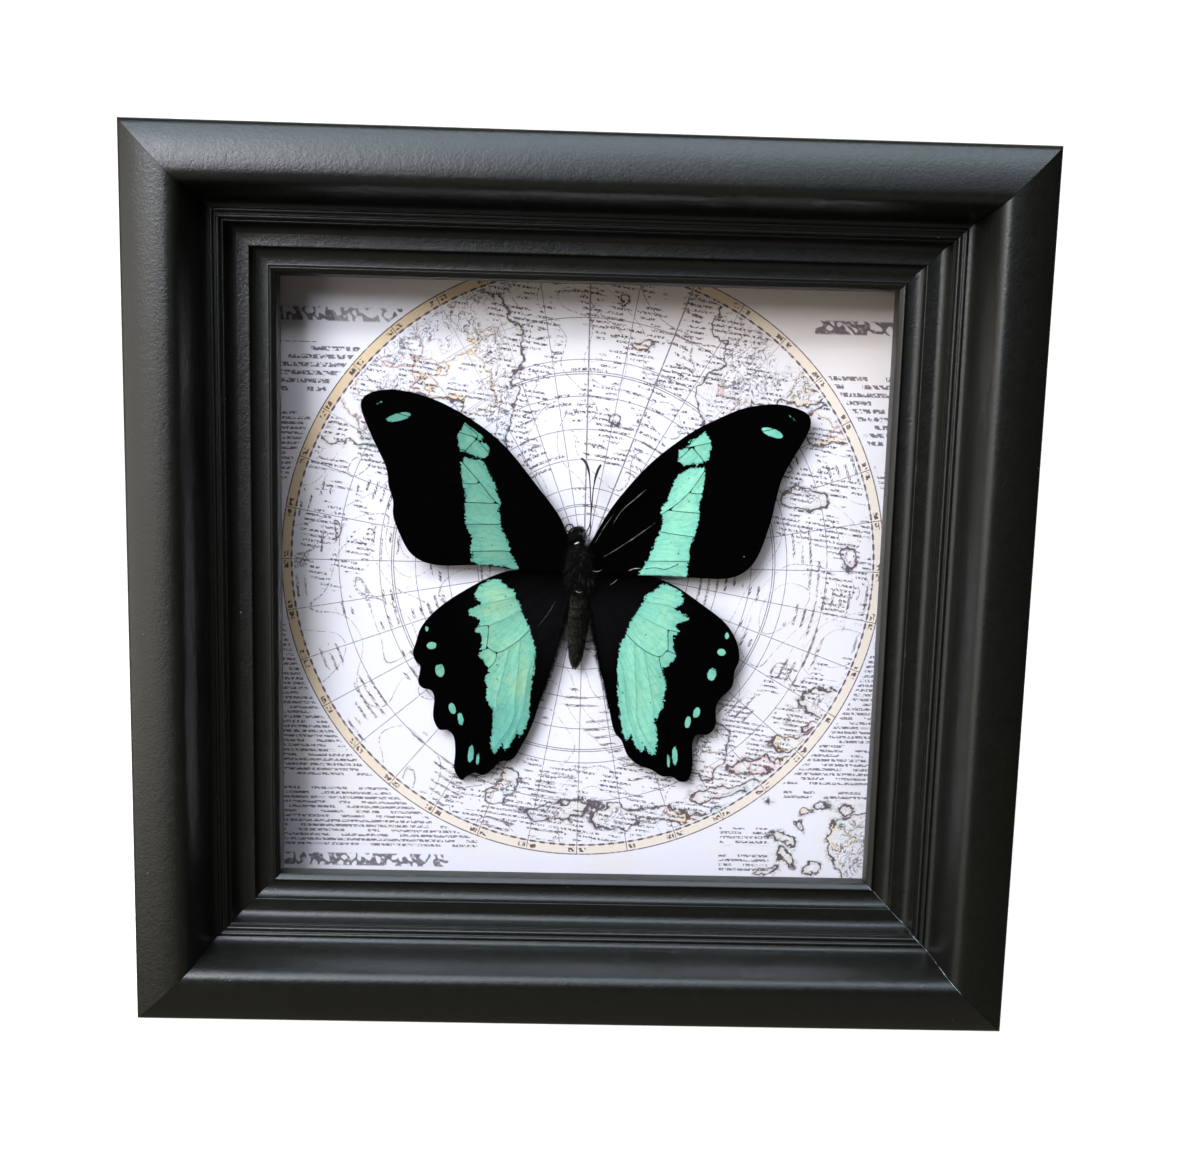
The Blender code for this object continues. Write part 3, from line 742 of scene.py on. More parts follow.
def draw_coasts(tree, place, shore, bent, rag):
    """Ink of the shores, hatching, borders and rivers, and the washes as (mask, hue)."""
    x, z, _ = tree.xyz(place)
    land = tree.step(shore, -0.02, 0.02)
    ink = ink_line(tree, Distance=shore, Half_width=0.2, Rag=rag)
    stroke = tree.step(tree.noise(tree.join(x * 0.8, z * 3.6), 1.0, 1.0), 0.42, 0.52)
    reach = tree.noise(place, 0.6, 2.0) * 1.3
    hatch = tree.step(shore, -0.2 - reach, 0.0) * tree.step(shore, 0.1, -0.02) * stroke
    ink = tree.math("MAXIMUM", ink, hatch * 0.7)
    realms = {"Vector": bent, "Scale": REALMS_PER_MM}
    border = tree.out("TexVoronoi", realms, output="Distance", feature="DISTANCE_TO_EDGE") / REALMS_PER_MM
    dots = tree.step(tree.noise(place, 3.2, 0.0), 0.42, 0.5)
    dotted = ink_line(tree, Distance=border, Half_width=0.07, Rag=rag) * dots
    turned = tree.out("VectorRotate", {0: bent, 3: -0.95}, rotation_type="Z_AXIS")
    valleys = tree.noise(tree.vector("MULTIPLY", turned, (0.16, 0.95, 1.0)), 1.0, 2.0, 0.5)
    river = tree.step(tree.math("ABSOLUTE", valleys - 0.5), 0.035, 0.02)
    inland = tree.step(shore, 0.4, 1.2)
    river = river * tree.step(tree.noise(place, 0.11, 1.0), 0.46, 0.52)
    ink = tree.math("MAXIMUM", ink, tree.math("MAXIMUM", dotted, river * 0.85) * inland)
    hills = tree.step(tree.math("ABSOLUTE", tree.noise(bent, 1.3, 1.0) - 0.5), 0.03, 0.012)
    ranges = tree.step(tree.noise(bent, 0.16, 1.0), 0.53, 0.57)
    ink = tree.math("MAXIMUM", ink, hills * ranges * inland * 0.5)
    hue = tree.xyz(tree.out("TexVoronoi", realms, output="Color"))[0]
    wash = tree.math("MAXIMUM", tree.step(border, 0.5, 0.15) * inland, tree.step(shore, 0.9, 0.2) * land)
    return ink, land, wash, hue


print("lands:", len(LANDS), "ovals")

# %% [markdown]
# ## Notes, routes and paper
# Small notes stand off the shores, and ships' routes wander over the sea as broken lines.
# Outside the ring, columns of fine rows fill the corners. Then the print is laid on paper
# that has yellowed in patches. The ink is a purple brown, not black, and it is a little
# uneven everywhere, because it was bitten into copper and pressed on damp paper.


# %% Paper
def draw_notes(tree, place, shore, radius, turn):
    """Marks near the shores and along the parallels."""
    near = tree.step(shore, -7.0, -6.0) * tree.step(shore, 5.5, 4.5)
    leaning = tree.out("VectorRotate", {0: place, 3: 0.14}, rotation_type="Z_AXIS")
    patches = tree.step(tree.noise(place, 0.2, 2.0), 0.46, 0.49)
    notes = script_rows(tree, Place=leaning, Pitch=1.05, Height=0.5) * near * patches
    round_rows = tree.join(turn * radius * math.radians(1), radius)
    sparse = tree.step(tree.noise(place, 0.12, 1.0), 0.54, 0.57) * tree.step(shore, -2.0, -3.0)
    arcs = script_rows(tree, Place=round_rows, Pitch=1.7, Height=0.55) * sparse
    drift = tree.noise(place, 0.035, 1.0)
    route = tree.math("PINGPONG", drift * 14.0, 0.5) * 3.2
    route = tree.step(route, 0.09, 0.04) * tree.step(shore, -1.0, -1.5)
    route = route * tree.step(tree.noise(place, 2.4, 0.0), 0.4, 0.5)
    marks = tree.math("MAXIMUM", tree.math("MAXIMUM", notes, arcs), route * 0.7)
    return marks * tree.step(radius, EQUATOR - 0.3, EQUATOR - 0.6)


# Blocks of rows in the corners, by the pitch and height of their rows: left, right, low
# and high.
BLOCKS = {
    (4.3, 2.8): [(-64, -34, 47.0, 50.4), (44, 64, 47.0, 50.4), (-64, -26, -64.6, -61.4)],
    (1.6, 0.9): [(-64, -34, 33.5, 43.5), (40, 64, 25.5, 40)],
    (1.0, 0.58): [(-64, -30, 16, 30), (-64, -30, -45, -13), (-64, -20, -60, -47),
                   (40, 64, -45, 22), (29, 41, -58.5, -54.5), (29, 41, -64, -60), (42, 64, -48.4, -46)],
}  # fmt: skip


def draw_blocks(tree, x, z, radius, edge):
    """Fine rows in the corners, with ragged ends along the ring."""
    found = None
    for (pitch, height), blocks in BLOCKS.items():
        marks = {"Shift": 0.0, "Wide": 0.1} if height > 2 else {"Shift": 0.27, "Wide": 0.33}
        rows = script_rows(tree, Place=tree.join(x, z), Pitch=pitch, Height=height, **marks)
        for left, right, low_end, high_end in blocks:
            middle = ((left + right) / 2, (low_end + high_end) / 2)
            sideways = tree.math("ABSOLUTE", x - middle[0]) + edge
            upward = tree.math("ABSOLUTE", z - middle[1])
            block = tree.step(sideways, (right - left) / 2, (right - left) / 2 - 0.1)
            block = block * tree.step(upward, (high_end - low_end) / 2, (high_end - low_end) / 2 - 0.1)
            part = rows * block
            found = part if found is None else tree.math("MAXIMUM", found, part)
    return found * tree.step(radius, RING + 0.8, RING + 1.0)


def build_chart(tree):
    x, _, z = tree.xyz(tree.millimetres())
    x, z = x - CHART[0], z - CHART[1]
    place = tree.join(x, z)
    rag = (tree.noise(place, 2.5, 3.0, 0.7) - 0.5) * 0.12
    net, ring, in_ring, radius, turn = draw_net(tree, x, z, rag)
    shore, bent = shore_distance(tree, place)
    coasts, land, wash, hue = draw_coasts(tree, place, shore, bent, rag)
    inside_ring = tree.step(radius, EQUATOR - 0.3, EQUATOR - 0.6)
    inset = tree.step(z, -47.0, -48.5) * tree.step(x, 36.0, 38.0) * tree.step(radius, RING, RING + 1.0)
    drawn = tree.math("MAXIMUM", inside_ring, inset)
    notes = draw_notes(tree, place, shore, radius, turn)
    edge = tree.noise(tree.join(0.0, z * 2.0), 1.0) * 1.5
    blocks = draw_blocks(tree, x, z, radius, edge)
    blot = tree.noise(place, 0.06, 4.0, 0.6)
    fibre = tree.noise(place, 6.0, 3.0, 0.7)
    paper = tree.mix(tree.step(blot, 0.4, 0.65), colour(0.8, 0.79, 0.87), colour(0.8, 0.77, 0.8))
    paper = tree.mix(tree.step(fibre, 0.5, 0.75) * 0.25, paper, colour(0.7, 0.67, 0.68))
    warm = tree.step(hue, 0.45, 0.5)
    tint = tree.mix(warm, colour(0.6, 0.55, 0.48), colour(0.66, 0.36, 0.36))
    tint = tree.mix(tree.step(hue, 0.6, 0.64), tint, colour(0.76, 0.55, 0.26))
    tint = tree.mix(tree.step(hue, 0.74, 0.78), tint, colour(0.38, 0.52, 0.54))
    paper = tree.mix(wash * drawn * 0.7, paper, tint)
    # Towards the top the paper is painted darker and warmer: painted shade, deepening the shadow that the
    # top rail casts.
    paper = tree.mix(tree.step(z + x * 0.2, 34.0, 62.0) * 0.8, paper, colour(0.72, 0.63, 0.57))
    # The ring's wash runs from pale peach at the lower right to deep tan at the upper left. The change of
    # hue is the wash's own colour. The darkening towards the upper left is partly painted shade from the
    # top and left rails.
    brown = tree.step(z - x, -30.0, 60.0)
    tan = tree.mix(brown, colour(0.83, 0.74, 0.66), colour(0.66, 0.47, 0.25))
    paper = tree.mix(in_ring * 0.85, paper, tree.mix(blot * 0.4, tan, colour(0.8, 0.66, 0.46)))
    ink = tree.math("MAXIMUM", net * (0.85 - land * 0.35), ring)
    ink = tree.math("MAXIMUM", ink, tree.math("MAXIMUM", coasts * drawn, notes))
    ink = tree.math("MAXIMUM", ink, blocks * 0.9)
    pressed = ink * tree.step(tree.noise(place, 1.1, 3.0, 0.6), 0.2, 0.5)
    shade = tree.mix(pressed * 0.92, paper, colour(0.05, 0.028, 0.045))
    bump = tree.bump(fibre * 0.012)
    return {"Base Color": shade, "Roughness": 0.7 + fibre * 0.2, "Normal": bump}


printed_chart = new_material("printed_chart", build_chart, Specular_IOR_Level=0.25)
finish_node("printed_sheet", printed_chart)

# %% [markdown]
# ## Wing outlines
# A spread butterfly's wings are nearly flat, so what matters is the outline, the pale
# band, and the net of veins. They are given as points round each shape, in millimetres
# from the butterfly's middle, and a smooth curve is drawn through them. Left and right
# are given apart, because no real pair of wings matches exactly.

# %% Outlines
BUTTERFLY = np.array([-0.4, 3.2])
WING_THICK = 0.12
FOREWING_LEFT = [
    (-1.6, 4.6), (-2.4, 6.4), (-4.7, 11.0), (-9.6, 17.2), (-14.4, 23.0), (-19.2, 27.2), (-25.4, 31.0),
    (-31.1, 33.4), (-36.7, 34.5), (-40.4, 34.3), (-43.0, 33.2), (-43.9, 31.2),
    (-42.5, 27.1), (-40.3, 22.5), (-38.7, 18.9), (-38.3, 15.6), (-37.4, 12.6),
    (-37.4, 9.8), (-36.1, 6.2), (-34.1, 2.6), (-31.3, 0.6), (-27.3, -0.1),
    (-19.9, 0.1), (-13.0, -0.6), (-7.0, -0.8), (-3.0, -0.9), (-1.2, -0.6),
]  # fmt: skip
FOREWING_RIGHT = [
    (1.5, 4.2), (2.4, 6.0), (5.8, 12.0), (10.0, 17.5), (14.4, 22.2), (21.0, 27.4), (26.6, 30.5),
    (32.2, 32.8), (37.8, 33.6), (41.8, 33.0), (44.4, 31.8), (45.1, 29.9), (44.1, 26.9),
    (41.2, 21.7), (39.6, 18.0), (38.7, 13.9), (38.0, 10.5), (36.5, 5.5), (34.9, 2.0),
    (32.4, -0.4), (28.7, -1.5), (22.0, -1.4), (16.0, -1.1), (8.1, -1.1), (3.0, -0.9), (1.2, -0.6),
]  # fmt: skip
HINDWING_LEFT = [
    (-1.4, -0.4), (-3.0, -0.1), (-7.0, -0.2), (-12.0, -0.6), (-16.0, -1.5), (-20.5, -3.6),
    (-26.2, -7.2), (-29.5, -10.0), (-31.8, -13.0), (-32.8, -16.1), (-33.4, -18.2),
    (-32.8, -19.9), (-31.9, -20.8), (-32.0, -22.3), (-32.3, -24.2), (-31.5, -25.4),
    (-29.6, -26.0), (-29.0, -27.8), (-29.2, -31.6), (-28.0, -34.1), (-26.2, -34.2),
    (-24.9, -35.7), (-24.6, -38.9), (-24.8, -42.4), (-23.5, -44.7), (-22.0, -43.9),
    (-20.5, -43.1), (-18.9, -43.6), (-17.1, -42.4), (-15.3, -40.6), (-12.8, -39.9),
    (-11.1, -37.2), (-9.1, -33.0), (-7.3, -27.3), (-5.2, -20.5), (-3.6, -13.9),
    (-2.5, -8.6), (-1.4, -5.6),
]  # fmt: skip
HINDWING_RIGHT = [
    (1.4, -0.4), (3.1, -0.2), (9.1, -0.5), (15.2, -1.6), (19.8, -3.5), (25.0, -7.0), (29.6, -10.5),
    (32.1, -14.2), (32.9, -17.9), (32.0, -20.7), (31.6, -23.8), (29.4, -26.3),
    (28.5, -28.4), (28.6, -32.0), (27.1, -34.0), (24.8, -34.2), (24.0, -36.3),
    (24.2, -40.6), (23.5, -43.8), (21.7, -44.2), (20.0, -43.1), (18.0, -43.1),
    (15.7, -41.7), (12.8, -40.6), (10.7, -38.7), (9.4, -35.7), (7.8, -33.6),
    (6.6, -28.8), (5.4, -23.6), (4.0, -18.0), (3.0, -12.4), (2.5, -8.6), (1.4, -5.6),
]  # fmt: skip


def smooth_line(points, spacing, closed=False):
    """A Catmull-Rom curve through the points, in even steps of about spacing."""
    points = np.array(points, float)
    if closed:
        near = [np.roll(points, -shift, axis=0) for shift in (-1, 0, 1, 2)]
    else:
        ends = np.vstack([points[:1], points, points[-1:]])
        near = [ends[shift : len(points) - 1 + shift] for shift in (0, 1, 2, 3)]
    before, here, there, after = (group[:, None] for group in near)
    t = np.linspace(0, 1, 12, endpoint=False)[None, :, None]
    bend = 2 * before - 5 * here + 4 * there - after
    swing = 3 * here - before - 3 * there + after
    line = ((2 * here + (there - before) * t + bend * t**2 + swing * t**3) / 2).reshape(-1, points.shape[1])
    line = np.vstack([line, points[:1] if closed else points[-1:]])
    run = np.concatenate([[0], np.cumsum(np.linalg.norm(np.diff(line, axis=0), axis=1))])
    steps = max(int(run[-1] / spacing), 2)
    marks = np.linspace(0, run[-1], steps + 1)
    even = np.stack([np.interp(marks, run, line[:, axis]) for axis in range(line.shape[1])], 1)
    return even[:-1] if closed else even


print("outline points:", [len(smooth_line(wing, 0.3, True)) for wing in (FOREWING_LEFT, HINDWING_LEFT)])

# %% [markdown]
# ## Band, spots and veins
# The pale green band crosses all four wings, broken by the veins, and its outer edge is
# frayed into the dark. Round spots stand near the hindwings' scalloped margins. The veins
# are the wing's ribs: a closed cell in the middle, and branches out from it to the
# margin. Each vein is a short list of the places it passes through.

# %% Markings
BANDS = {
    "forewing_left": [
        [
            (-23.4, 28.4), (-22.3, 27.5), (-20.8, 26.7), (-19.8, 25.5), (-20.7, 25.3),
            (-19.2, 24.2), (-18.4, 23.2), (-18.8, 22.1), (-20.0, 21.6), (-22.2, 22.3),
            (-24.1, 23.1), (-24.6, 25.3), (-24.2, 27.0),
        ],
        [
            (-23.7, 21.5), (-21.8, 21.3), (-20.2, 21.0), (-18.6, 19.1), (-17.5, 16.9),
            (-16.8, 14.5), (-16.1, 12.7), (-16.5, 11.3), (-16.0, 8.7), (-15.2, 6.3),
            (-14.5, 4.9), (-13.9, 2.7), (-12.4, -0.4), (-15.0, 0.0), (-18.1, 0.2), (-21.1, 0.5),
            (-21.9, 1.0), (-21.4, 2.4), (-22.1, 3.3), (-21.7, 5.6), (-22.8, 7.7), (-23.2, 12.1),
            (-23.0, 13.6), (-23.6, 16.4), (-23.9, 18.3),
        ],
    ],
    "forewing_right": [
        [
            (24.3, 27.8), (24.9, 26.6), (25.6, 25.3), (25.1, 23.9), (24.8, 22.3), (22.6, 21.5),
            (20.4, 21.2), (19.4, 21.7), (18.9, 22.9), (19.3, 23.9), (20.5, 24.8), (21.9, 26.4),
            (23.3, 27.2),
        ],
        [
            (24.1, 20.9), (24.4, 18.9), (24.1, 15.8), (23.5, 13.4), (23.5, 10.8), (22.8, 7.4),
            (22.1, 5.2), (21.8, 2.7), (21.6, 0.6), (21.2, -1.2), (16.3, -1.3), (12.0, -1.2),
            (12.9, 0.9), (14.0, 3.2), (15.7, 7.3), (16.4, 10.0), (15.9, 11.9), (17.2, 14.2),
            (18.0, 17.0), (19.0, 19.0), (20.6, 20.1), (22.6, 20.6),
        ],
    ],
    "hindwing_left": [
        [
            (-17.0, -2.8), (-15.8, -3.2), (-14.6, -4.1), (-13.1, -5.1), (-12.8, -6.4),
            (-12.1, -7.4), (-11.4, -9.4), (-10.5, -11.4), (-9.8, -12.8), (-9.2, -14.8),
            (-8.6, -17.8), (-8.9, -21.6), (-9.4, -26.0), (-9.6, -30.0), (-10.3, -33.0),
            (-11.4, -35.2), (-12.1, -34.0), (-13.1, -36.5), (-14.3, -38.0), (-15.1, -36.8),
            (-16.6, -38.9), (-17.4, -36.4), (-17.0, -33.4), (-16.9, -30.0), (-18.2, -27.9),
            (-18.2, -25.2), (-18.7, -23.6), (-18.0, -21.4), (-19.8, -18.3), (-19.4, -17.4),
            (-19.7, -16.4), (-19.4, -14.4), (-20.6, -13.2), (-20.0, -11.3), (-22.3, -9.5),
            (-19.7, -7.6), (-21.0, -6.4), (-20.3, -4.6), (-19.0, -3.5),
        ],
    ],
    "hindwing_right": [
        [
            (16.8, -3.0), (15.4, -4.1), (13.5, -5.2), (13.1, -6.6), (12.2, -7.9), (11.1, -9.8),
            (10.0, -12.3), (9.4, -14.0), (8.5, -16.2), (8.2, -20.0), (8.4, -25.2), (8.9, -30.1),
            (9.6, -34.2), (10.7, -35.8), (11.4, -34.3), (12.3, -36.9), (13.9, -37.8),
            (14.4, -36.8), (15.9, -38.6), (16.6, -36.9), (16.6, -34.0), (16.2, -31.1),
            (17.6, -28.8), (17.8, -26.2), (18.1, -23.6), (17.2, -20.2), (18.3, -19.9),
            (19.7, -18.2), (19.6, -16.6), (19.2, -14.1), (20.4, -12.6), (19.8, -11.2),
            (22.3, -9.8), (19.5, -7.9), (21.0, -6.5), (20.6, -4.7), (18.6, -3.4),
        ],
    ],
}  # fmt: skip
# Spots: middle, half width, half height, and degrees of lean to the left.
SPOTS = {
    "forewing_left": [
        (-36.4, 29.2, 2.5, 0.75, 15), (-40.2, 31.9, 0.9, 0.15, 28), (-35.3, 12.8, 0.15, 0.2, 0),
    ],
    "forewing_right": [
        (37.5, 28.0, 2.3, 0.8, -18), (41.4, 30.9, 1.0, 0.16, -36), (36.4, 16.2, 0.14, 0.2, 0),
        (35.8, 11.6, 0.12, 0.16, 0), (32.8, 3.1, 0.14, 0.14, 0),
    ],
    "hindwing_left": [
        (-30.6, -13.2, 0.33, 0.6, 0), (-29.6, -16.6, 1.0, 0.75, 12), (-27.9, -21.7, 0.95, 1.4, 8),
        (-25.3, -29.7, 0.68, 1.2, 14), (-23.6, -31.8, 0.58, 1.35, 8), (-21.4, -39.1, 0.6, 1.9, -4),
        (-20.0, -40.2, 0.33, 1.4, -4),
    ],
    "hindwing_right": [
        (30.2, -13.3, 0.4, 0.7, 0), (29.2, -16.7, 0.9, 0.7, -10), (27.4, -21.3, 0.9, 1.3, -8),
        (24.6, -29.4, 0.68, 1.2, -14), (22.9, -31.5, 0.58, 1.35, -8), (20.5, -38.7, 0.55, 2.0, 4),
        (19.2, -39.8, 0.3, 1.6, 4), (27.4, -25.6, 0.12, 0.12, 0),
    ],
}  # fmt: skip
VEINS = {
    "forewing_left": [
        [(-3, 3), (-16, 12.1), (-20.2, 16.7), (-23.5, 20.3)],
        [(-3, 2), (-13.9, 3.1), (-21.9, 2.9), (-34.6, 3)],
        [(-12, 9.3), (-16, 8.5), (-22.6, 8.3), (-36.8, 7.5)],
        [(-16.5, 12.6), (-23, 12.7), (-37.2, 13)],
        [(-20.2, 16.7), (-23.5, 16.5), (-38.6, 18.5)],
        [(-23.9, 20.8), (-40.8, 24)],
        [(-3, 4.5), (-14, 17.5), (-21, 25.3)],
        [(-21, 25.3), (-23.1, 22.9), (-23.7, 20.5)],
        [(-23.1, 22.9), (-42.8, 28.5)],
        [(-21, 25.4), (-24, 26.4), (-43.2, 31.8)],
        [(-21, 25.3), (-21.6, 26.8), (-30, 32.4)],
    ],
    "forewing_right": [
        [(3, 3), (16.7, 11.7), (21.4, 15.8), (24.2, 20)],
        [(3, 2), (13.7, 1.8), (21.9, 1.9), (34.2, 1.6)],
        [(12.6, 8.6), (15.6, 7.8), (22.7, 6.9), (36.4, 6)],
        [(17.2, 12.1), (23.5, 11.7), (37.7, 11.4)],
        [(21.4, 15.8), (24.2, 15.6), (39, 17)],
        [(24.2, 20), (40.8, 22.4)],
        [(3, 4.5), (14.4, 17.4), (21.6, 24.8)],
        [(21.6, 24.8), (24.1, 21.9), (24.2, 20)],
        [(24.1, 21.9), (43.4, 27)],
        [(20.3, 24.6), (25.3, 25.7), (44.4, 30.4)],
        [(13.1, 0.2), (15.2, 0.5), (17.2, 0.2), (19.7, 1.3)],
    ],
    "hindwing_left": [
        [(-18.1, -12.2), (-20.5, -12.5), (-32, -15)],
        [(-18.1, -12.2), (-18.5, -16.5), (-19.7, -17.4), (-31.4, -21.6)],
        [(-18.5, -16.5), (-16.4, -17.7), (-13.7, -16.4), (-10, -13.1), (-3, -4.4)],
        [(-16.4, -17.7), (-18, -21), (-28.8, -29)],
        [(-3, -2), (-12.8, -6.1), (-19.4, -7.9), (-29, -10.4)],
        [(-3, -3.2), (-12.6, -9.6), (-18.1, -12.2)],
        [(-13.7, -16.4), (-16.2, -27.5), (-16.5, -30), (-24.4, -37.4)],
        [(-11.6, -14.6), (-12.4, -26), (-13.4, -33), (-20.5, -42.6)],
        [(-3, -5), (-9.4, -20), (-10.9, -30), (-14.8, -39.8)],
    ],
    "hindwing_right": [
        [(18.1, -12.2), (20, -12.6), (32, -15.2)],
        [(18.1, -12.2), (18.3, -16.3), (17.9, -16.6), (19.6, -17.1), (31, -21.6)],
        [(17.9, -16.6), (16.5, -17.8), (13.4, -16.5), (9.5, -13), (3, -4.4)],
        [(16.5, -17.8), (16.8, -19.2), (18.4, -22), (28.2, -29)],
        [(3, -2), (13.4, -6.5), (17.2, -7.1), (28.8, -10.4)],
        [(3, -3.2), (12.6, -9.6), (18.1, -12.2)],
        [(13.4, -16.5), (15.8, -28.5), (16.3, -31.2), (24, -37.6)],
        [(11.4, -14.8), (12.2, -26), (13.2, -33), (20, -42.6)],
        [(3, -5), (9, -20), (10.6, -30), (14.4, -40)],
    ],
}  # fmt: skip
# How many of the first veins stay as dark as the wing where they cross the band. The
# others are only a crease there.
DARK_VEINS = {"forewing_left": 11, "forewing_right": 11, "hindwing_left": 4, "hindwing_right": 4}
# How bright each wing's pale band is painted: painted light and sheen, as the right wings catch more of the
# light than the left.
PAINTED_BAND_LIGHT = {"forewing_left": 0.44, "forewing_right": 0.84, "hindwing_left": 0.64, "hindwing_right": 0.77}
print("veins:", {name: len(lines) for name, lines in VEINS.items()})

# %% [markdown]
# ## Cutting a wing into triangles
# A wing could be a flat plate with a painted texture, but then its edges blur and it
# catches no light. Instead, points are set all over it, closer than a scale row can show.
# A constrained Delaunay triangulation joins them so that triangle edges run exactly along
# the outline, the band and every vein. The band then has a crisp border, and the veins
# can stand up from the membrane.


# %% Triangulation
def inside(points, outline):
    """Whether each point lies in the closed outline, by counting crossings."""
    x, y = points[:, 0], points[:, 1]
    found = np.zeros(len(points), bool)
    for (x0, y0), (x1, y1) in zip(outline, np.roll(outline, -1, axis=0)):
        spans = (y0 > y) != (y1 > y)
        with np.errstate(divide="ignore", invalid="ignore"):
            found ^= spans & (x < (x1 - x0) * (y - y0) / (y1 - y0) + x0)
    return found


def distance_to(points, line, closed=False):
    """How far each point is from the nearest place on a polyline."""
    starts = line if closed else line[:-1]
    ends = np.roll(line, -1, axis=0) if closed else line[1:]
    ahead = ends - starts
    nearest = np.full(len(points), 1e9)
    for start, step in zip(starts, ahead):
        t = np.clip((points - start) @ step / max(step @ step, 1e-12), 0, 1)
        gap = np.linalg.norm(points - start - t[:, None] * step, axis=1)
        nearest = np.minimum(nearest, gap)
    return nearest


def signed_distance(points, outline):
    """Distance to the outline, positive inside."""
    return distance_to(points, outline, True) * np.where(inside(points, outline), 1, -1)


def triangulate(outline, bands, veins, spacing, dice):
    """Points and triangles of a wing, with edges along its outline, bands and veins."""
    low_corner, high_corner = outline.min(0), outline.max(0)
    columns = np.arange(low_corner[0], high_corner[0], spacing)
    rows = np.arange(low_corner[1], high_corner[1], spacing * 0.866)
    x, y = np.meshgrid(columns, rows)
    x[1::2] += spacing / 2
    grid = np.column_stack([x.ravel(), y.ravel()])
    grid += dice.uniform(-0.15, 0.15, grid.shape) * spacing
    room = signed_distance(grid, outline)
    fixed = bands + veins
    for line in fixed:
        near = room > spacing * 0.5
        room[near] = np.minimum(room[near], distance_to(grid[near], line))
    points = [outline]
    edges = [(i, (i + 1) % len(outline)) for i in range(len(outline))]
    count = len(outline)
    for line in fixed:
        clear = signed_distance(line, outline) > 0.12
        edges += [(count + i, count + i + 1) for i in range(len(line) - 1) if clear[i] and clear[i + 1]]
        points.append(line)
        count += len(line)
    keep = room > spacing * 0.5
    points = np.vstack(points + [grid[keep]])
    solved = delaunay_2d_cdt([Vector(point) for point in points], edges, [], 0, 1e-5)
    spots, faces = np.array(solved[0]), np.array(solved[2])
    middles = spots[faces].mean(1)
    return spots, faces[inside(middles, outline)]


print("ready to cut wings")

# %% [markdown]
# ## Shaping a wing
# The membrane dips a little between the veins and swells along them, the fore edge is
# stiff and slightly raised, and a dried wing never lies quite flat. All of this is a few
# tenths of a millimetre, worked out from the distances above. The distances themselves
# are stored on the points for the material: it needs to know how deep inside the band,
# and how near to a vein, each place is.


# %% Wings
VEIN_HALF_WIDTH = 0.07
OUTLINE_STEP = 0.3
POINT_SPACING = 0.42
FAR_OFF = 9.0


def wing_height(points, root, outline, lines, dice):
    """Millimetres to raise each point above the wing's plain slope."""
    from_root = np.linalg.norm(points - root, axis=1)
    vein = np.full(len(points), FAR_OFF)
    for line in lines:
        vein = np.minimum(vein, distance_to(points, line))
    rib = 0.09 * np.exp(-((vein / 0.2) ** 2))
    dip = -0.14 * (1 - np.exp(-((vein / 1.6) ** 2)))
    edge = distance_to(points, outline, True)
    rim = 0.06 * np.exp(-((edge / 0.25) ** 2))
    swell = sum(
        size * np.sin(points[:, 0] * a + points[:, 1] * b + dice.uniform(0, 6.3))
        for size, a, b in ((0.22, 0.16, 0.09), (0.1, -0.31, 0.27), (0.05, 0.6, 0.5))
    )
    swell *= np.clip(from_root / 12, 0, 1)
    return rib + dip + rim + swell, vein, edge


def spot_distance(points, spot):
    """Rough signed distance to an oval, positive inside."""
    x, y, wide, tall, lean = spot
    lean = math.radians(lean)
    away = points - (x, y)
    along = away @ (math.cos(lean), math.sin(lean)) / wide
    upward = away @ (-math.sin(lean), math.cos(lean)) / tall
    return (1 - np.hypot(along, upward)) * min(wide, tall)


def new_wing(name, outline, root, rise, fall, seed):
    dice = np.random.default_rng(seed)
    outline = smooth_line(outline, OUTLINE_STEP, True)
    bands = [smooth_line(band, OUTLINE_STEP, True) for band in BANDS[name]]
    veins = [smooth_line(vein, OUTLINE_STEP) for vein in VEINS[name]]
    points, faces = triangulate(outline, bands, veins, POINT_SPACING, dice)
    root = np.array(root)
    height, vein, edge = wing_height(points, root, outline, veins, dice)
    band = np.full(len(points), -FAR_OFF)
    for line in bands:
        band = np.maximum(band, signed_distance(points, line))
    spots = np.full(len(points), -FAR_OFF)
    for spot in SPOTS[name]:
        spots = np.maximum(spots, spot_distance(points, spot))
    dark = np.full(len(points), FAR_OFF)
    for line in veins[: DARK_VEINS[name]]:
        dark = np.minimum(dark, distance_to(points, line))
    away = points - root
    reach = np.linalg.norm(away, axis=1)
    angle = np.arctan2(away[:, 1], np.abs(away[:, 0]))
    back = SHEET_DEPTH - rise + fall * reach - height
    thick = WING_THICK * np.clip(edge / 0.2, 0.35, 1.0)
    place = points + BUTTERFLY
    top = np.column_stack([place[:, 0], back, place[:, 1]])
    under = np.column_stack([place[:, 0], back + thick, place[:, 1]])
    count = len(points)
    rim_edges = {}
    for a, b, c in faces.tolist():
        for pair in ((a, b), (b, c), (c, a)):
            rim_edges[pair] = True
    walls = [(a, b) for a, b in rim_edges if (b, a) not in rim_edges]
    all_faces = faces.tolist() + [[c + count, b + count, a + count] for a, b, c in faces.tolist()]
    all_faces += [[b, a, a + count, b + count] for a, b in walls]
    slots = [0] * len(faces) + [1] * len(faces) + [0] * len(walls)
    marks = {
        "band": np.tile(band, 2),
        "spot": np.tile(spots, 2),
        "painted_band_light": np.full(2 * count, PAINTED_BAND_LIGHT[name]),
        "vein": np.tile(vein - VEIN_HALF_WIDTH, 2),
        "dark_vein": np.tile(dark - VEIN_HALF_WIDTH, 2),
        "rim": np.tile(edge, 2),
        "flow": np.tile(np.column_stack([reach, angle * 25, np.zeros(count)]), (2, 1)),
    }
    every = np.vstack([top, under])
    scales = [upper_scales, under_scales]
    wing = new_piece(f"{name}_scaled", every, all_faces, scales, 0, marks, slots)
    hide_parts(name)


print("wing points every", POINT_SPACING, "mm")

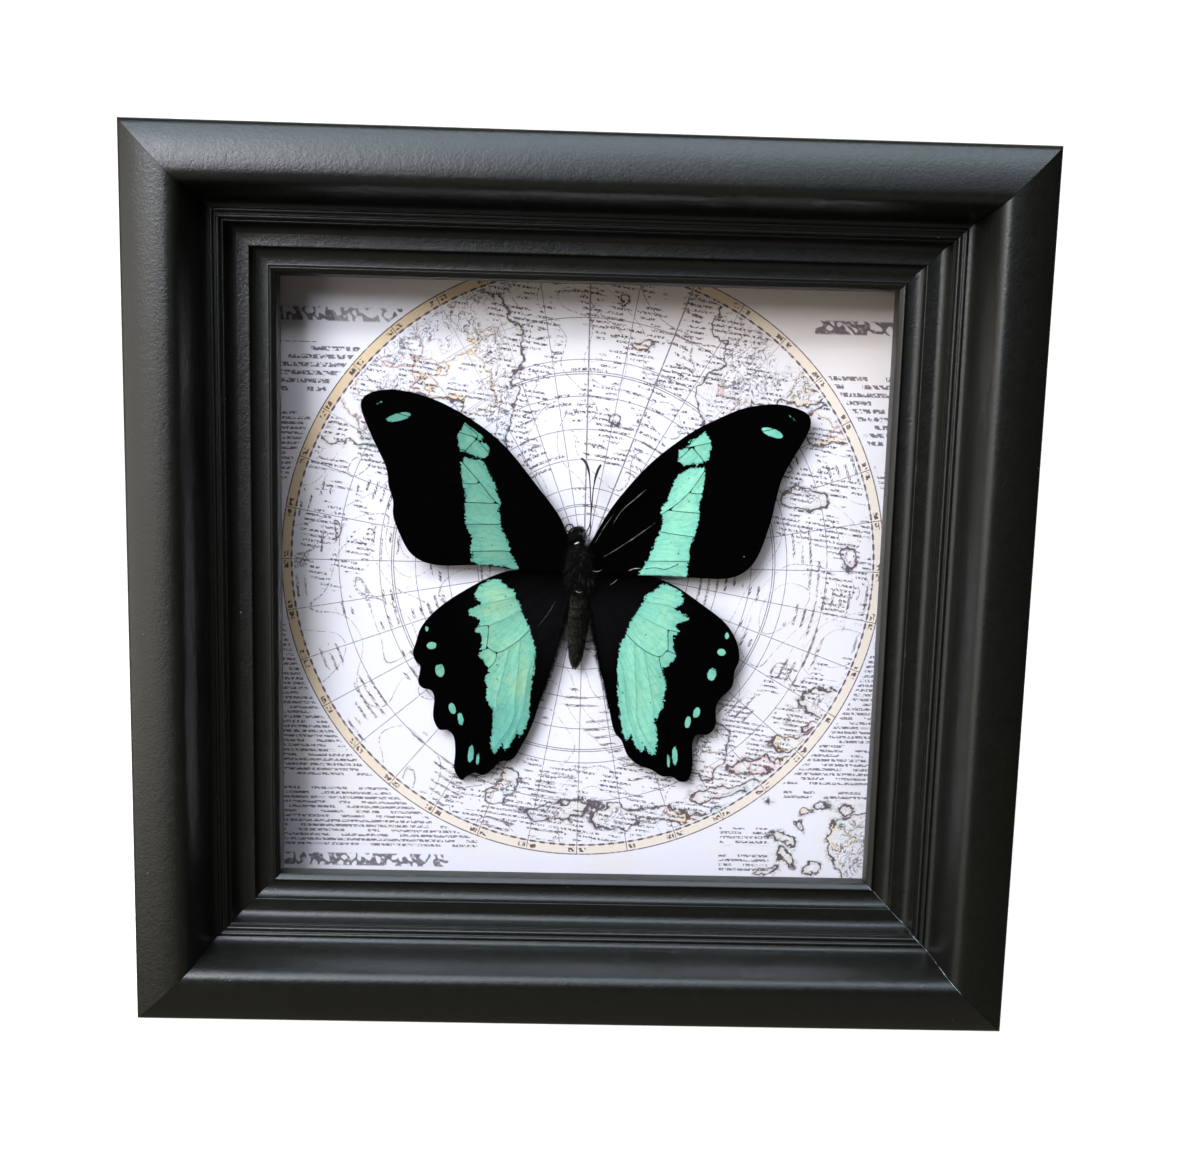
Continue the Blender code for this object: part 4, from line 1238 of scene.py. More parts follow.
# %% [markdown]
# ## Scales
# A wing's colour is made of scales, like dust-sized roof tiles, in rows across the wing.
# Black ones soak up light, and the pale green ones spread it softly. At this size the
# rows show only as a fine cross grain and a jagged border. So the band's edge is moved in
# and out by a fine noise in rows, thin folds run out from the root, a few scales are
# missing, and the green shifts towards blue at the edges. The strong veins stay dark.


# %% Wing materials
def build_wing(tree, black, grey, leaf, mint, pale, dull):
    place = tree.millimetres()
    band = tree.attribute("band")
    vein = tree.attribute("vein")
    dark = tree.attribute("dark_vein")
    flow = tree.attribute("flow", "Vector")
    reach, angle, _ = tree.xyz(flow)
    rows = tree.noise(tree.join(reach * 4.5, angle * 1.6), 1.0, 2.0)
    fray = tree.noise(place, 2.0, 3.0, 0.6)
    teeth = tree.noise(tree.join(angle * 1.1, reach * 0.5), 1.0, 3.0, 0.7)
    edge = band + (rows - 0.5) * 0.8 + (fray - 0.5) * 1.3 + (teeth - 0.5) * 1.3
    dot = tree.attribute("spot") + (fray - 0.5) * 0.4
    mask = tree.step(tree.math("MAXIMUM", edge, dot), -0.03, 0.05)
    crease = tree.step(vein, 0.16, -0.06)
    ink = tree.step(dark + (fray - 0.5) * 0.12, 0.02, -0.05)
    folds = streaks(tree, Place=flow, Length=16.0, Width=0.7)
    cloud = tree.noise(place, 0.16, 3.0, 0.55)
    lost = specks(tree, Place=place, Spacing=1.5, Radius=0.27)
    brush = tree.noise(tree.join(reach * 0.5, angle * 1.1), 1.0, 3.0, 0.65)
    creased = tree.noise(tree.join(reach * 1.1, angle * 0.22), 1.0, 2.0)
    side, _, height = tree.xyz(place)
    leafy = tree.step(side, 3.0, -3.0) * tree.step(height, 3.0, -3.0) * 0.6 + 0.2
    shine = tree.mix(tree.step(cloud, 0.6, 0.4) * leafy, mint, leaf)
    # The band is a bluer green on the lower left hindwing.
    bluer_low_left = tree.step(side, 4.0, -4.0) * tree.step(height, -20.0, -33.0)
    shine = tree.mix(bluer_low_left * 0.9, shine, pale)
    shine = tree.mix(tree.step(band + (cloud - 0.5) * 2, 2.2, 0.0) * 0.6, shine, pale)
    shine = tree.mix(tree.step(folds, 0.5, 0.7) * 0.5, shine, dull)
    shine = tree.mix(tree.step(brush, 0.46, 0.66) * 0.26, shine, dull)
    shine = tree.mix(tree.step(creased, 0.53, 0.66) * 0.22, shine, dull)
    shine = tree.mix(tree.step(brush, 0.48, 0.36) * 0.28, shine, leaf)
    shine = tree.mix(crease * 0.6, shine, dull)
    dust = tree.step(tree.noise(place, 2.2, 3.0, 0.7), 0.62, 0.75)
    inner = tree.step(reach, 24.0, 8.0) * tree.step(height, 3.0, -6.0)
    night = tree.mix(tree.math("MAXIMUM", dust * 0.18, inner * folds * 0.9), black, grey)
    # Each band is scaled by its wing's painted light and sheen: the right wings are painted brighter.
    shine = tree.scale(shine, tree.attribute("painted_band_light"))
    cover = mask * (1.0 - ink) * (1.0 - lost * 0.85)
    shade = tree.mix(cover, night, shine)
    rough = 0.62 + cover * 0.1 + (rows - 0.5) * 0.2 - crease * (1.0 - cover) * 0.12
    relief = rows * 0.02 + folds * 0.05 + creased * 0.06 + fray * 0.02
    return {"Base Color": shade, "Roughness": rough, "Normal": tree.bump(relief)}


def build_upper(tree):
    return build_wing(
        tree,
        colour(0.0008, 0.0007, 0.0008),
        colour(0.007, 0.007, 0.008),
        colour(0.5, 0.86, 0.53),
        colour(0.33, 0.83, 0.62),
        colour(0.2, 0.66, 0.56),
        colour(0.13, 0.44, 0.36),
    )


def build_under(tree):
    return build_wing(
        tree,
        colour(0.018, 0.012, 0.008),
        colour(0.045, 0.035, 0.026),
        colour(0.3, 0.5, 0.38),
        colour(0.27, 0.5, 0.4),
        colour(0.24, 0.44, 0.36),
        colour(0.16, 0.3, 0.24),
    )


upper_scales = new_material("upper_scales", build_upper, Specular_IOR_Level=0.0)
under_scales = new_material("under_scales", build_under, Specular_IOR_Level=0.15)

# %% [markdown]
# ## Four wings
# The forewings overlap the hindwings, so they are rooted higher off the sheet. Every wing
# falls a little towards its tip. Each has a seed of its own, so no two have the same
# swells.

# %% Four wings
FORE_RISE, FORE_FALL = 3.9, 0.012
HIND_RISE, HIND_FALL = 3.2, 0.02
new_wing("forewing_left", FOREWING_LEFT, (-3, 3), FORE_RISE, FORE_FALL, 1)
new_wing("forewing_right", FOREWING_RIGHT, (3, 3), FORE_RISE, FORE_FALL, 2)
new_wing("hindwing_left", HINDWING_LEFT, (-3, -3), HIND_RISE, HIND_FALL, 3)
new_wing("hindwing_right", HINDWING_RIGHT, (3, -3), HIND_RISE, HIND_FALL, 4)

# %% [markdown]
# ## Body
# Head, thorax and abdomen are one tapering form with two waists, and the abdomen is made
# of overlapping rings. A row of cross-sections gives the form: each has a height, a
# sideways shift, two half widths and a height off the sheet. Between them the numbers
# follow a smooth curve, and shallow grooves part the abdomen's rings.

# %% Body form
BODY_STATIONS = [
    (8.3, -0.8, 0.5, 0.5, 3.1), (8.0, -0.8, 1.2, 1.2, 3.1), (7.3, -0.8, 1.8, 1.6, 3.1),
    (6.5, -0.8, 1.9, 1.8, 3.1), (5.8, -0.7, 1.7, 1.6, 3.1), (5.2, -0.6, 1.3, 1.3, 3.0),
    (4.6, -0.5, 1.5, 1.6, 3.0), (3.8, -0.4, 2.1, 2.2, 3.0), (2.4, -0.2, 2.4, 2.5, 3.0),
    (0.5, -0.1, 2.5, 2.6, 3.0), (-1.6, 0.0, 2.5, 2.6, 3.0), (-3.3, 0.0, 2.2, 2.3, 2.9),
    (-4.5, 0.1, 1.7, 1.8, 2.8), (-5.0, 0.1, 1.6, 1.7, 2.7), (-6.0, 0.0, 1.9, 1.9, 2.7),
    (-8.2, 0.0, 2.1, 2.0, 2.6), (-10.6, -0.1, 2.2, 2.0, 2.6), (-13.2, -0.2, 2.1, 1.9, 2.5),
    (-15.6, -0.3, 1.8, 1.7, 2.4), (-17.6, -0.4, 1.5, 1.4, 2.3), (-19.3, -0.5, 1.0, 0.9, 2.2),
    (-20.6, -0.6, 0.3, 0.3, 2.1),
]  # fmt: skip
AROUND = 40
WAIST = -5.0
UNDER_FUR = 0.93


def body_rings():
    """Rings of points down the body, as one array: ring, place in the ring, (x, back, z)."""
    stations = smooth_line(BODY_STATIONS, 0.2)
    rings = []
    for height, shift, half_width, half_thick, rise in stations:
        groove = 0.0
        if height < WAIST - 1:
            off = (height - WAIST) % 1.9 - 0.95
            groove = 0.09 * math.exp(-((off / 0.16) ** 2)) + 0.03 * off
        angle = np.linspace(0, 2 * math.pi, AROUND, endpoint=False)
        lump = 1 - groove + 0.03 * np.sin(3 * angle + height) * math.sin(height * 1.7)
        x = shift + half_width * UNDER_FUR * lump * np.cos(angle)
        back = SHEET_DEPTH - rise + half_thick * UNDER_FUR * lump * np.sin(angle)
        back = np.minimum(back, SHEET_DEPTH - 0.05)
        place = np.column_stack([x + BUTTERFLY[0], back, np.full(AROUND, height + BUTTERFLY[1])])
        rings.append(place)
    return np.array(rings)


skin = body_rings()
print("body rings:", len(skin), "of", AROUND, "points")

# %% [markdown]
# ## Skin, fur and eyes
# Under the hairs the skin is near black. The fur is black brown. On the abdomen a few hairs
# are paler and greyer, and the hairs on its left side, which faces the window, are painted
# paler still: painted light. Pale hairs along the middle of the back are painted glints.
# Each hair carries a tone of its own, because one colour over thousands of hairs looks like
# plastic. The eyes and the crown of the head are smooth and catch the window. The antennae
# and the tongue are horn, ringed across.


# %% Body materials
def build_skin(tree):
    place = tree.millimetres()
    tone, height = grain(tree, Place=place, Per_mm=3.0, Depth=0.12)
    shade = tree.mix(tone, colour(0.0006, 0.0005, 0.0004), colour(0.003, 0.0026, 0.002))
    return {"Base Color": shade, "Normal": tree.bump(height)}


def build_fur(tree):
    tone = tree.attribute("tone")
    pale = tree.attribute("pale")
    shade = tree.mix(tone, colour(0.0006, 0.0005, 0.0004), colour(0.0055, 0.0046, 0.0032))
    # The pale share holds a few paler hairs, painted light on the abdomen's left side and painted glints
    # along the back.
    shade = tree.mix(pale, shade, colour(0.11, 0.098, 0.078))
    return {"Base Color": shade, "Roughness": 0.42 + tone * 0.25}


def build_eye(tree):
    place = tree.millimetres()
    facet = tree.cells(place, 11.0)
    cloud = tree.noise(place, 1.2, 2.0)
    shade = tree.mix(cloud, colour(0.004, 0.0045, 0.006), colour(0.012, 0.013, 0.017))
    return {
        "Base Color": shade,
        "Roughness": 0.26 + cloud * 0.1,
        "Normal": tree.bump(facet * -0.006),
    }


def build_horn(tree):
    place = tree.millimetres()
    tone, height = grain(tree, Place=place, Per_mm=4.0, Depth=0.02)
    shade = tree.mix(tone, colour(0.003, 0.0026, 0.0035), colour(0.014, 0.011, 0.012))
    return {"Base Color": shade, "Roughness": 0.35 + tone * 0.2, "Normal": tree.bump(height)}


def build_glint_hair(tree):
    tone = tree.noise(tree.millimetres(), 0.9, 2.0)
    # Their pale colour is a painted highlight: the glint of hairs and veins against the black.
    shade = tree.mix(tree.step(tone, 0.35, 0.65), colour(0.2, 0.22, 0.19), colour(0.75, 0.78, 0.7))
    return {"Base Color": shade, "Roughness": 0.35 + tone * 0.2}


body_skin = new_material("body_skin", build_skin, Roughness=0.8, Specular_IOR_Level=0.05)
body_fur = new_material("body_fur", build_fur, Specular_IOR_Level=0.05)
eye_gloss = new_material("eye_gloss", build_eye, Specular_IOR_Level=0.6)
horn = new_material("horn", build_horn, Specular_IOR_Level=0.45)
painted_glint_hair = new_material("painted_glint_hair", build_glint_hair, Specular_IOR_Level=0.6)

# %% [markdown]
# ## Growing fur
# Blender can grow hair as particles, but those are not meshes. Here each hair is a narrow
# ribbon of two quads and a triangle that tapers to a point and bends towards the tail.
# Their roots are spread at random over the skin, more where there is more skin, and their
# lean and length depend on the part of the body. A fixed seed gives the same fur each run.


# %% Ribbon hairs
HAIR_POINTS = 7


def ribbons(roots, leans, lengths, bends, widths, dice):
    """Points and faces of tapering ribbon hairs."""
    count = len(roots)
    sideways = np.cross(leans, dice.normal(size=(count, 3)))
    sideways /= np.linalg.norm(sideways, axis=1)[:, None]
    points = []
    for t, share in ((0.0, 1.0), (0.35, 0.85), (0.7, 0.55)):
        middle = roots + (leans * t + bends * t * t) * lengths[:, None]
        half = sideways * (widths * share / 2)[:, None]
        points += [middle - half, middle + half]
    points.append(roots + (leans + bends) * lengths[:, None])
    points = np.stack(points, axis=1)
    first = np.arange(count)[:, None] * HAIR_POINTS
    quads = np.vstack([first + (0, 1, 3, 2), first + (2, 3, 5, 4)]).tolist()
    tips = (first + (4, 5, 6)).tolist()
    return points.reshape(-1, 3), quads + tips


def scatter(rings, count, dice):
    """Random places on a ringed form, with the way out of it at each."""
    here = rings[:-1]
    down = rings[1:]
    along = np.roll(here, -1, axis=1) - here
    across = down - here
    out = np.cross(along, across)
    area = np.linalg.norm(out, axis=2)
    chosen = dice.choice(area.size, count, p=(area / area.sum()).ravel())
    out = out.reshape(-1, 3)[chosen] / area.ravel()[chosen, None]
    u, v = dice.random((2, count, 1))
    place = here.reshape(-1, 3)[chosen]
    place = place + along.reshape(-1, 3)[chosen] * u + across.reshape(-1, 3)[chosen] * v
    middle = rings.mean(1)[chosen // rings.shape[1]]
    out *= np.sign(((place - middle) * out).sum(1))[:, None]
    return place, out


# %% Body and fur
def new_body():
    count = len(skin)
    faces = ring_faces(count, AROUND)
    faces += [range(AROUND), range(count * AROUND - 1, (count - 1) * AROUND - 1, -1)]
    core = new_piece("body_core", skin.reshape(-1, 3), faces, [body_skin], 0)
    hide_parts("butterfly_body")


def new_fur(count=17000):
    """The body's hairs, which leave the crown and the tongue bare."""
    dice = np.random.default_rng(7)
    roots, out = scatter(skin, count, dice)
    height = roots[:, 2] - BUTTERFLY[1]
    crown = np.linalg.norm((roots - CROWN)[:, (0, 2)], axis=1)
    loop = np.linalg.norm(roots[:, (0, 2)] - BUTTERFLY - TONGUE, axis=1)
    keep = ~((crown < 1.25) & (out[:, 1] < 0.2)) & (loop > 1.5)
    roots, out, height = roots[keep], out[keep], height[keep]
    count = len(roots)
    head = height > 4.9
    abdomen = height < WAIST
    outward = np.where(abdomen, 0.16, np.where(head, 0.75, 0.5))[:, None]
    tailward = np.where(abdomen, 1.0, np.where(head, -0.1, 0.75))[:, None]
    loose = np.where(abdomen, 0.14, 0.45)[:, None]
    leans = out * outward + np.array([0.0, 0.0, -1.0]) * tailward
    leans += dice.normal(size=(count, 3)) * loose
    leans /= np.linalg.norm(leans, axis=1)[:, None]
    side = np.abs(out[:, 0]) > 0.6
    lengths = np.where(abdomen, 0.5, np.where(head, 0.6, 1.0)) * dice.uniform(0.6, 1.4, count)
    lengths = np.where(side & ~abdomen & ~head, lengths * 1.5, lengths)
    bends = np.array([0.0, 0.25, -0.35]) * dice.uniform(0.3, 1.0, (count, 1))
    widths = np.where(abdomen, 0.07, 0.055) * dice.uniform(0.7, 1.3, count)
    points, faces = ribbons(roots + out * 0.01, leans, lengths, bends, widths, dice)
    points[:, 1] = np.minimum(points[:, 1], SHEET_DEPTH - 0.03)
    tone = dice.random(count) ** 2
    # Hairs on the abdomen's left side, which faces the window, are painted paler: painted light.
    left = np.clip(-out[:, 0] + 0.3, 0, 1) * (height < -5.5)
    pale = np.clip(0.1 * abdomen * dice.random(count) + 0.8 * left * dice.random(count) ** 2, 0, 1)
    # More pale hairs along the middle of the back: painted glints.
    middle = np.abs(roots[:, 0] - BUTTERFLY[0]) < 0.5
    pale = np.where(dice.random(count) < np.where(middle, 0.07, 0.02), dice.uniform(0.4, 1.0, count), pale)
    marks = {"tone": np.repeat(tone, HAIR_POINTS), "pale": np.repeat(pale, HAIR_POINTS)}
    fur = new_piece("body_hairs", points, faces, [body_fur], 0, marks)


def new_fringe(count=1800):
    """Black hairs from the hindwings' inner margins, which close the gap to the abdomen."""
    dice = np.random.default_rng(11)
    for name, outline, sign in (("left", HINDWING_LEFT, 1), ("right", HINDWING_RIGHT, -1)):
        margin = np.array([place for place in outline if abs(place[0]) < 7.5 and place[1] < -4.0])
        margin = smooth_line(margin[np.argsort(-margin[:, 1])], 0.1)
        share = dice.random(count) ** 1.3
        spot = margin[(share * (len(margin) - 1)).astype(int)]
        reach = np.linalg.norm(spot - (-3 * sign, -3), axis=1)
        back = SHEET_DEPTH - HIND_RISE + HIND_FALL * reach + dice.uniform(-0.15, 0.1, count)
        roots = np.column_stack([spot[:, 0] - 0.15 * sign, back, spot[:, 1]])
        roots += np.array([BUTTERFLY[0], 0.0, BUTTERFLY[1]])
        leans = dice.normal(size=(count, 3)) * (0.22, 0.12, 0.22) + np.array([0.75 * sign, 0.15, -0.9])
        leans /= np.linalg.norm(leans, axis=1)[:, None]
        lengths = (1.9 - 1.2 * share) * dice.uniform(0.5, 1.2, count)
        bends = np.array([-0.3 * sign, 0.1, -0.3]) * dice.uniform(0.2, 1.0, (count, 1))
        points, faces = ribbons(roots, leans, lengths, bends, dice.uniform(0.03, 0.06, count), dice)
        tone = np.repeat(dice.random(count) ** 2, HAIR_POINTS)
        marks = {"tone": tone, "pale": np.zeros_like(tone)}
        fringe = new_piece(f"hindwing_fringe_{name}", points, faces, [body_fur], 0, marks)


CROWN = np.array([BUTTERFLY[0] - 0.5, SHEET_DEPTH - 4.1, BUTTERFLY[1] + 6.75])
TONGUE = np.array([-2.3, 8.2])
new_body()
new_fur()
new_fringe()

# %% [markdown]
# ## Eyes, antennae and tongue
# The eyes and the crown are egg-shaped bulges, squashed against the head. The antennae
# are tubes of short segments that end in a club, and the tongue is an open loop beside the
# head. Rings of points along a curve make all of these.


# %% Bulges and tubes
def egg_rings(middle, radii, steps=14, sides=28):
    """Rings of a squashed ball, from front to back."""
    rings = []
    for turn in np.linspace(0.06, math.pi - 0.06, steps):
        angle = np.linspace(0, 2 * math.pi, sides, endpoint=False)
        x = radii[0] * math.sin(turn) * np.cos(angle)
        z = radii[2] * math.sin(turn) * np.sin(angle)
        back = np.full(sides, -radii[1] * math.cos(turn))
        rings.append(np.column_stack([x, back, z]) + middle)
    return np.array(rings)


def tube_rings(line, radii, sides=12):
    """Rings square to a curve, of the given radii."""
    ahead = np.gradient(line, axis=0)
    ahead /= np.linalg.norm(ahead, axis=1)[:, None]
    side = np.cross(ahead, (0.0, 1.0, 0.0))
    side /= np.linalg.norm(side, axis=1)[:, None]
    other = np.cross(ahead, side)
    angle = np.linspace(0, 2 * math.pi, sides, endpoint=False)[None, :, None]
    round_it = side[:, None] * np.cos(angle) + other[:, None] * np.sin(angle)
    return line[:, None] + round_it * np.asarray(radii)[:, None, None]


def new_ringed(name, groups, material, node=None):
    """One piece from several closed ringed forms."""
    points, faces = [], []
    for rings in groups:
        first = sum(len(part) for part in points)
        count, around = rings.shape[:2]
        faces += ring_faces(count, around, True, first)
        faces.append(range(first, first + around))
        faces.append(range(first + count * around - 1, first + (count - 1) * around - 1, -1))
        points.append(rings.reshape(-1, 3))
    made = new_piece(name, np.vstack(points), faces, [material], 60)
    if node:
        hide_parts(node)


# %% Head, antennae, tongue
LEFT_ANTENNA = [
    (1.1, 7.4, 3.6), (1.7, 8.6, 3.8), (1.9, 10.2, 4.0), (1.9, 12.6, 4.2),
    (1.7, 15.2, 4.4), (1.5, 18.1, 4.5), (1.2, 19.8, 4.5), (0.6, 21.3, 4.4), (-0.3, 22.1, 4.3),
]  # fmt: skip
RIGHT_ANTENNA = [
    (1.4, 6.4, 3.0), (1.9, 7.4, 3.0), (1.9, 9.9, 3.1), (2.1, 12.8, 3.3),
    (2.2, 15.1, 3.5), (2.4, 16.8, 3.7), (2.7, 18.5, 3.8), (3.2, 20.0, 3.9), (3.7, 20.9, 3.9),
]  # fmt: skip


def from_butterfly(rows):
    """(x, z, rise) rows from the butterfly's middle as (x, back, z) places."""
    rows = np.array(rows, float)
    return np.column_stack(
        [rows[:, 0] + BUTTERFLY[0], SHEET_DEPTH - rows[:, 2], rows[:, 1] + BUTTERFLY[1]]
    )


def new_antenna(name, route, spacing=0.07):
    line = smooth_line(from_butterfly(route), spacing)
    run = np.arange(len(line)) * spacing
    share = run / run[-1]
    swell = np.sin(np.clip((share - 0.72) / 0.28, 0, 1) * math.pi * 0.75)
    segment = 1 - 0.1 * np.abs(np.sin(run * math.pi / 0.42)) ** 6
    radii = (0.12 + 0.15 * swell) * segment
    radii[-3:] *= (0.9, 0.7, 0.35)
    new_ringed(f"{name}_ringed", [tube_rings(line, radii)], horn, name)


def new_tongue(count=60, rise=4.9):
    turns = np.radians(-70 + 330 * np.linspace(0, 1, count))
    loop = 0.75 + 0.03 * np.sin(turns * 2)
    x, z = TONGUE[0] + loop * np.cos(turns), TONGUE[1] + loop * np.sin(turns)
    rows = np.column_stack([x, z, np.full(count, rise)])
    radii = 0.19 * (1 - 0.12 * np.abs(np.sin(np.arange(count) * 1.3)))
    new_ringed("tongue", [tube_rings(from_butterfly(rows), radii)], horn, "proboscis")


eye_left = egg_rings(CROWN + (-0.85, 0.9, -0.1), (0.7, 1.2, 1.0))
eye_right = egg_rings(CROWN + (0.95, 0.9, -0.15), (0.7, 1.2, 1.05))
crown = egg_rings(CROWN + (0.05, 0.8, 0.05), (1.2, 1.35, 1.2))
new_ringed("eyes_and_crown", [eye_left, eye_right, crown], eye_gloss)
new_antenna("antenna_left", LEFT_ANTENNA)
new_antenna("antenna_right", RIGHT_ANTENNA)
new_tongue()

# %% [markdown]
# ## Pale strands painted as glints
# Thin pale strands lie over the roots of the wings, most of them on the right, with a small
# white tuft at the neck and paler ones at the waist and the tail. Their pale colour is a
# painted highlight: it stands for hairs and veins glinting against the black. They are thin
# tubes, each a little above what it lies on.

# %% Pale strands for glints
GLINT_STRANDS = [
    [(2.9, 5.3, 4.1), (4.6, 8.4, 4.3), (6.4, 11.1, 4.2)],
    [(6.4, 9.2, 4.3), (8.0, 11.8, 4.3), (10.0, 13.7, 4.2), (12.8, 16.2, 4.1)],
    [(4.7, 2.5, 4.2), (9.6, 5.7, 4.2), (14.8, 9.6, 4.1)],
    [(2.4, -0.3, 4.4), (3.4, -0.45, 4.5), (4.4, -0.1, 4.4)],
    [(9.7, -0.2, 4.2), (10.9, 0.3, 4.3), (12.3, 0.3, 4.2)],
    [(6.1, -3.2, 3.6), (6.9, -2.7, 3.7), (7.5, -2.1, 3.6)],
    [(-4.6, -6.6, 3.4), (-6.2, -9.4, 3.4), (-8.2, -12.0, 3.3)],
    [(-1.2, 5.1, 5.2), (-0.8, 5.25, 5.3), (-0.3, 5.5, 5.2)],
    [(-0.7, -4.4, 4.9), (0.0, -4.7, 5.0), (0.6, -4.4, 4.9)],
    [(-2.5, -16.6, 2.9), (-2.45, -16.9, 3.0), (-2.4, -17.2, 2.9)],
]  # fmt: skip
HAIR_WIDTHS = [0.012, 0.026, 0.017, 0.036, 0.05, 0.03, 0.009, 0.14, 0.045, 0.09]
strands = []
for route, half_width in zip(GLINT_STRANDS, HAIR_WIDTHS):
    line = smooth_line(from_butterfly(route), 0.15)
    taper = np.sin(np.linspace(0.15, math.pi - 0.1, len(line))) ** 0.6
    strands.append(tube_rings(line, half_width * taper, 6))
new_ringed("painted_glint_strands", strands, painted_glint_hair)

# %% [markdown]
# ## The ridge on one joint
# At the lower right the two rails did not quite meet. What filled the gap stands a little
# proud along the mitre. Its pale blue-grey patches are a painted highlight, for the glint
# along that edge. It is a thin uneven tube that follows the moulding from the window's
# edge up to the crest.


# %% Joint ridge
def build_joint(tree):
    place = tree.millimetres()
    tone, height = grain(tree, Place=place, Per_mm=0.9, Depth=0.04)
    # Where bare is high the colour is pale blue-grey: a painted highlight for the glint along the joint.
    bare = tree.step(tone, 0.42, 0.56)
    shade = tree.mix(bare, colour(0.02, 0.022, 0.022), colour(0.3, 0.36, 0.38))
    return {"Base Color": shade, "Roughness": 0.3 + tone * 0.2, "Normal": tree.bump(height)}


MITRE_LINE = [
    (0.5, 14.8), (1.3, 14.15), (1.8, 15.1), (2.8, 15.1), (4.3, 14.95), (5.1, 13.5), (7.3, 13.6),
    (8.6, 13.3), (9.3, 10.9), (10.2, 10.2), (11.4, 10.1), (12.5, 9.8), (13.4, 6.9), (14.3, 2.6),
    (15.3, 0.5), (17.3, 0.0),
]  # fmt: skip
route = [(HALF_SIGHT + across, back, -HALF_SIGHT - across) for across, back in MITRE_LINE]
line = smooth_line(route, 0.2)
along = np.linspace(0, 1, len(line))
uneven = 0.65 + 0.35 * np.sin(along * 31) * np.sin(along * 13)
radii = 0.13 * uneven * np.sin(along * 3.0 + 0.1) ** 0.3
painted_joint_glint = new_material("painted_joint_glint", build_joint)
new_ringed("joint_ridge", [tube_rings(line, radii, 8)], painted_joint_glint)

# %% [markdown]
# ## Floor and backdrop
# The frame stands on a plain pale floor that curves up behind it, as the paper sweep in
# a studio does, so there is no horizon line. One strip of quads along a rounded
# outline makes it. It gives off a little light of its own, to stay nearly white behind
# the dark frame. Only the camera sees it: it neither lights the object nor shows in its
# paint, because the lamps below do all of that.


# %% Sweep
def build_sweep(tree):
    place = tree.millimetres()
    tone, height = grain(tree, Place=place, Per_mm=0.4, Depth=0.02)
    shade = tree.mix(tone, colour(0.86, 0.86, 0.86), colour(0.9, 0.9, 0.9))
    glow = tree.mix(tone, colour(0.98, 0.98, 0.98), colour(1.0, 1.0, 1.0))
    return {"Base Color": shade, "Emission Color": glow, "Normal": tree.bump(height)}


pale_sweep = new_material("pale_sweep", build_sweep, Roughness=0.9, Emission_Strength=0.8)
FLOOR = (low.z - CENTRE.z) / MM
SWEEP_FRONT, SWEEP_FLAT, SWEEP_BEND, SWEEP_TOP = -900.0, 700.0, 400.0, 1500.0
SWEEP_HALF_WIDTH = 1600.0
side_view = [(SWEEP_FRONT, FLOOR)]
for turn in np.radians(np.linspace(0, 90, 25)):
    back, up = SWEEP_BEND * math.sin(turn), SWEEP_BEND * (1 - math.cos(turn))
    side_view.append((SWEEP_FLAT + back, FLOOR + up))
side_view.append((SWEEP_FLAT + SWEEP_BEND, FLOOR + SWEEP_TOP))
points = [(x, back, z) for back, z in side_view for x in (-SWEEP_HALF_WIDTH, SWEEP_HALF_WIDTH)]
faces = [(i, i + 2, i + 3, i + 1) for i in range(0, len(points) - 2, 2)]
mesh = bpy.data.meshes.new("sweep")
mesh.from_pydata(world(points).tolist(), [], faces)
mesh.materials.append(pale_sweep)
mesh.shade_smooth()
sweep = bpy.data.objects.new("sweep", mesh)
bpy.context.scene.collection.objects.link(sweep)
sweep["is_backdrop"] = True
sweep.visible_diffuse = False
sweep.visible_glossy = False
sweep.visible_transmission = False
print("sweep:", len(faces), "quads")

# %% [markdown]
# ## Light
# The frame was lit by a window, high and to the left, so its face shades the top and
# the left of the sheet, and the paint's highlights run along the outer rounds of those
# two rails. Large area lamps stand for the window, its bright top and the pale wall on the
# left, and a weak one stands for what the floor sends up. In a studio, white cards would
# also hang overhead for the paint to mirror: the cards here are lamps that only gloss
# can see. The rest is the world's own light, by direction alone. Below it is dim, and
# behind it is bright. Straight in front it is dark, or the glass would mirror it over the
# black wings.


# %% Lamps
def new_lamp(name, place, size, watts, tint):
    """A rectangular lamp at a place in millimetres, aimed at the middle of the frame."""
    lamp = bpy.data.lights.new(name, "AREA")
    lamp.shape = "RECTANGLE"
    lamp.size, lamp.size_y = size[0] * MM, size[1] * MM
    lamp.energy = watts
    lamp.color = tint
    made = bpy.data.objects.new(name, lamp)
    place = Vector(world([place])[0])
    made.location = place
    made.rotation_euler = (CENTRE - place).to_track_quat("-Z", "Y").to_euler()
    bpy.context.scene.collection.objects.link(made)
    print(f"{name}: {watts} W at {(place - CENTRE).length:.2f} m")
    return made


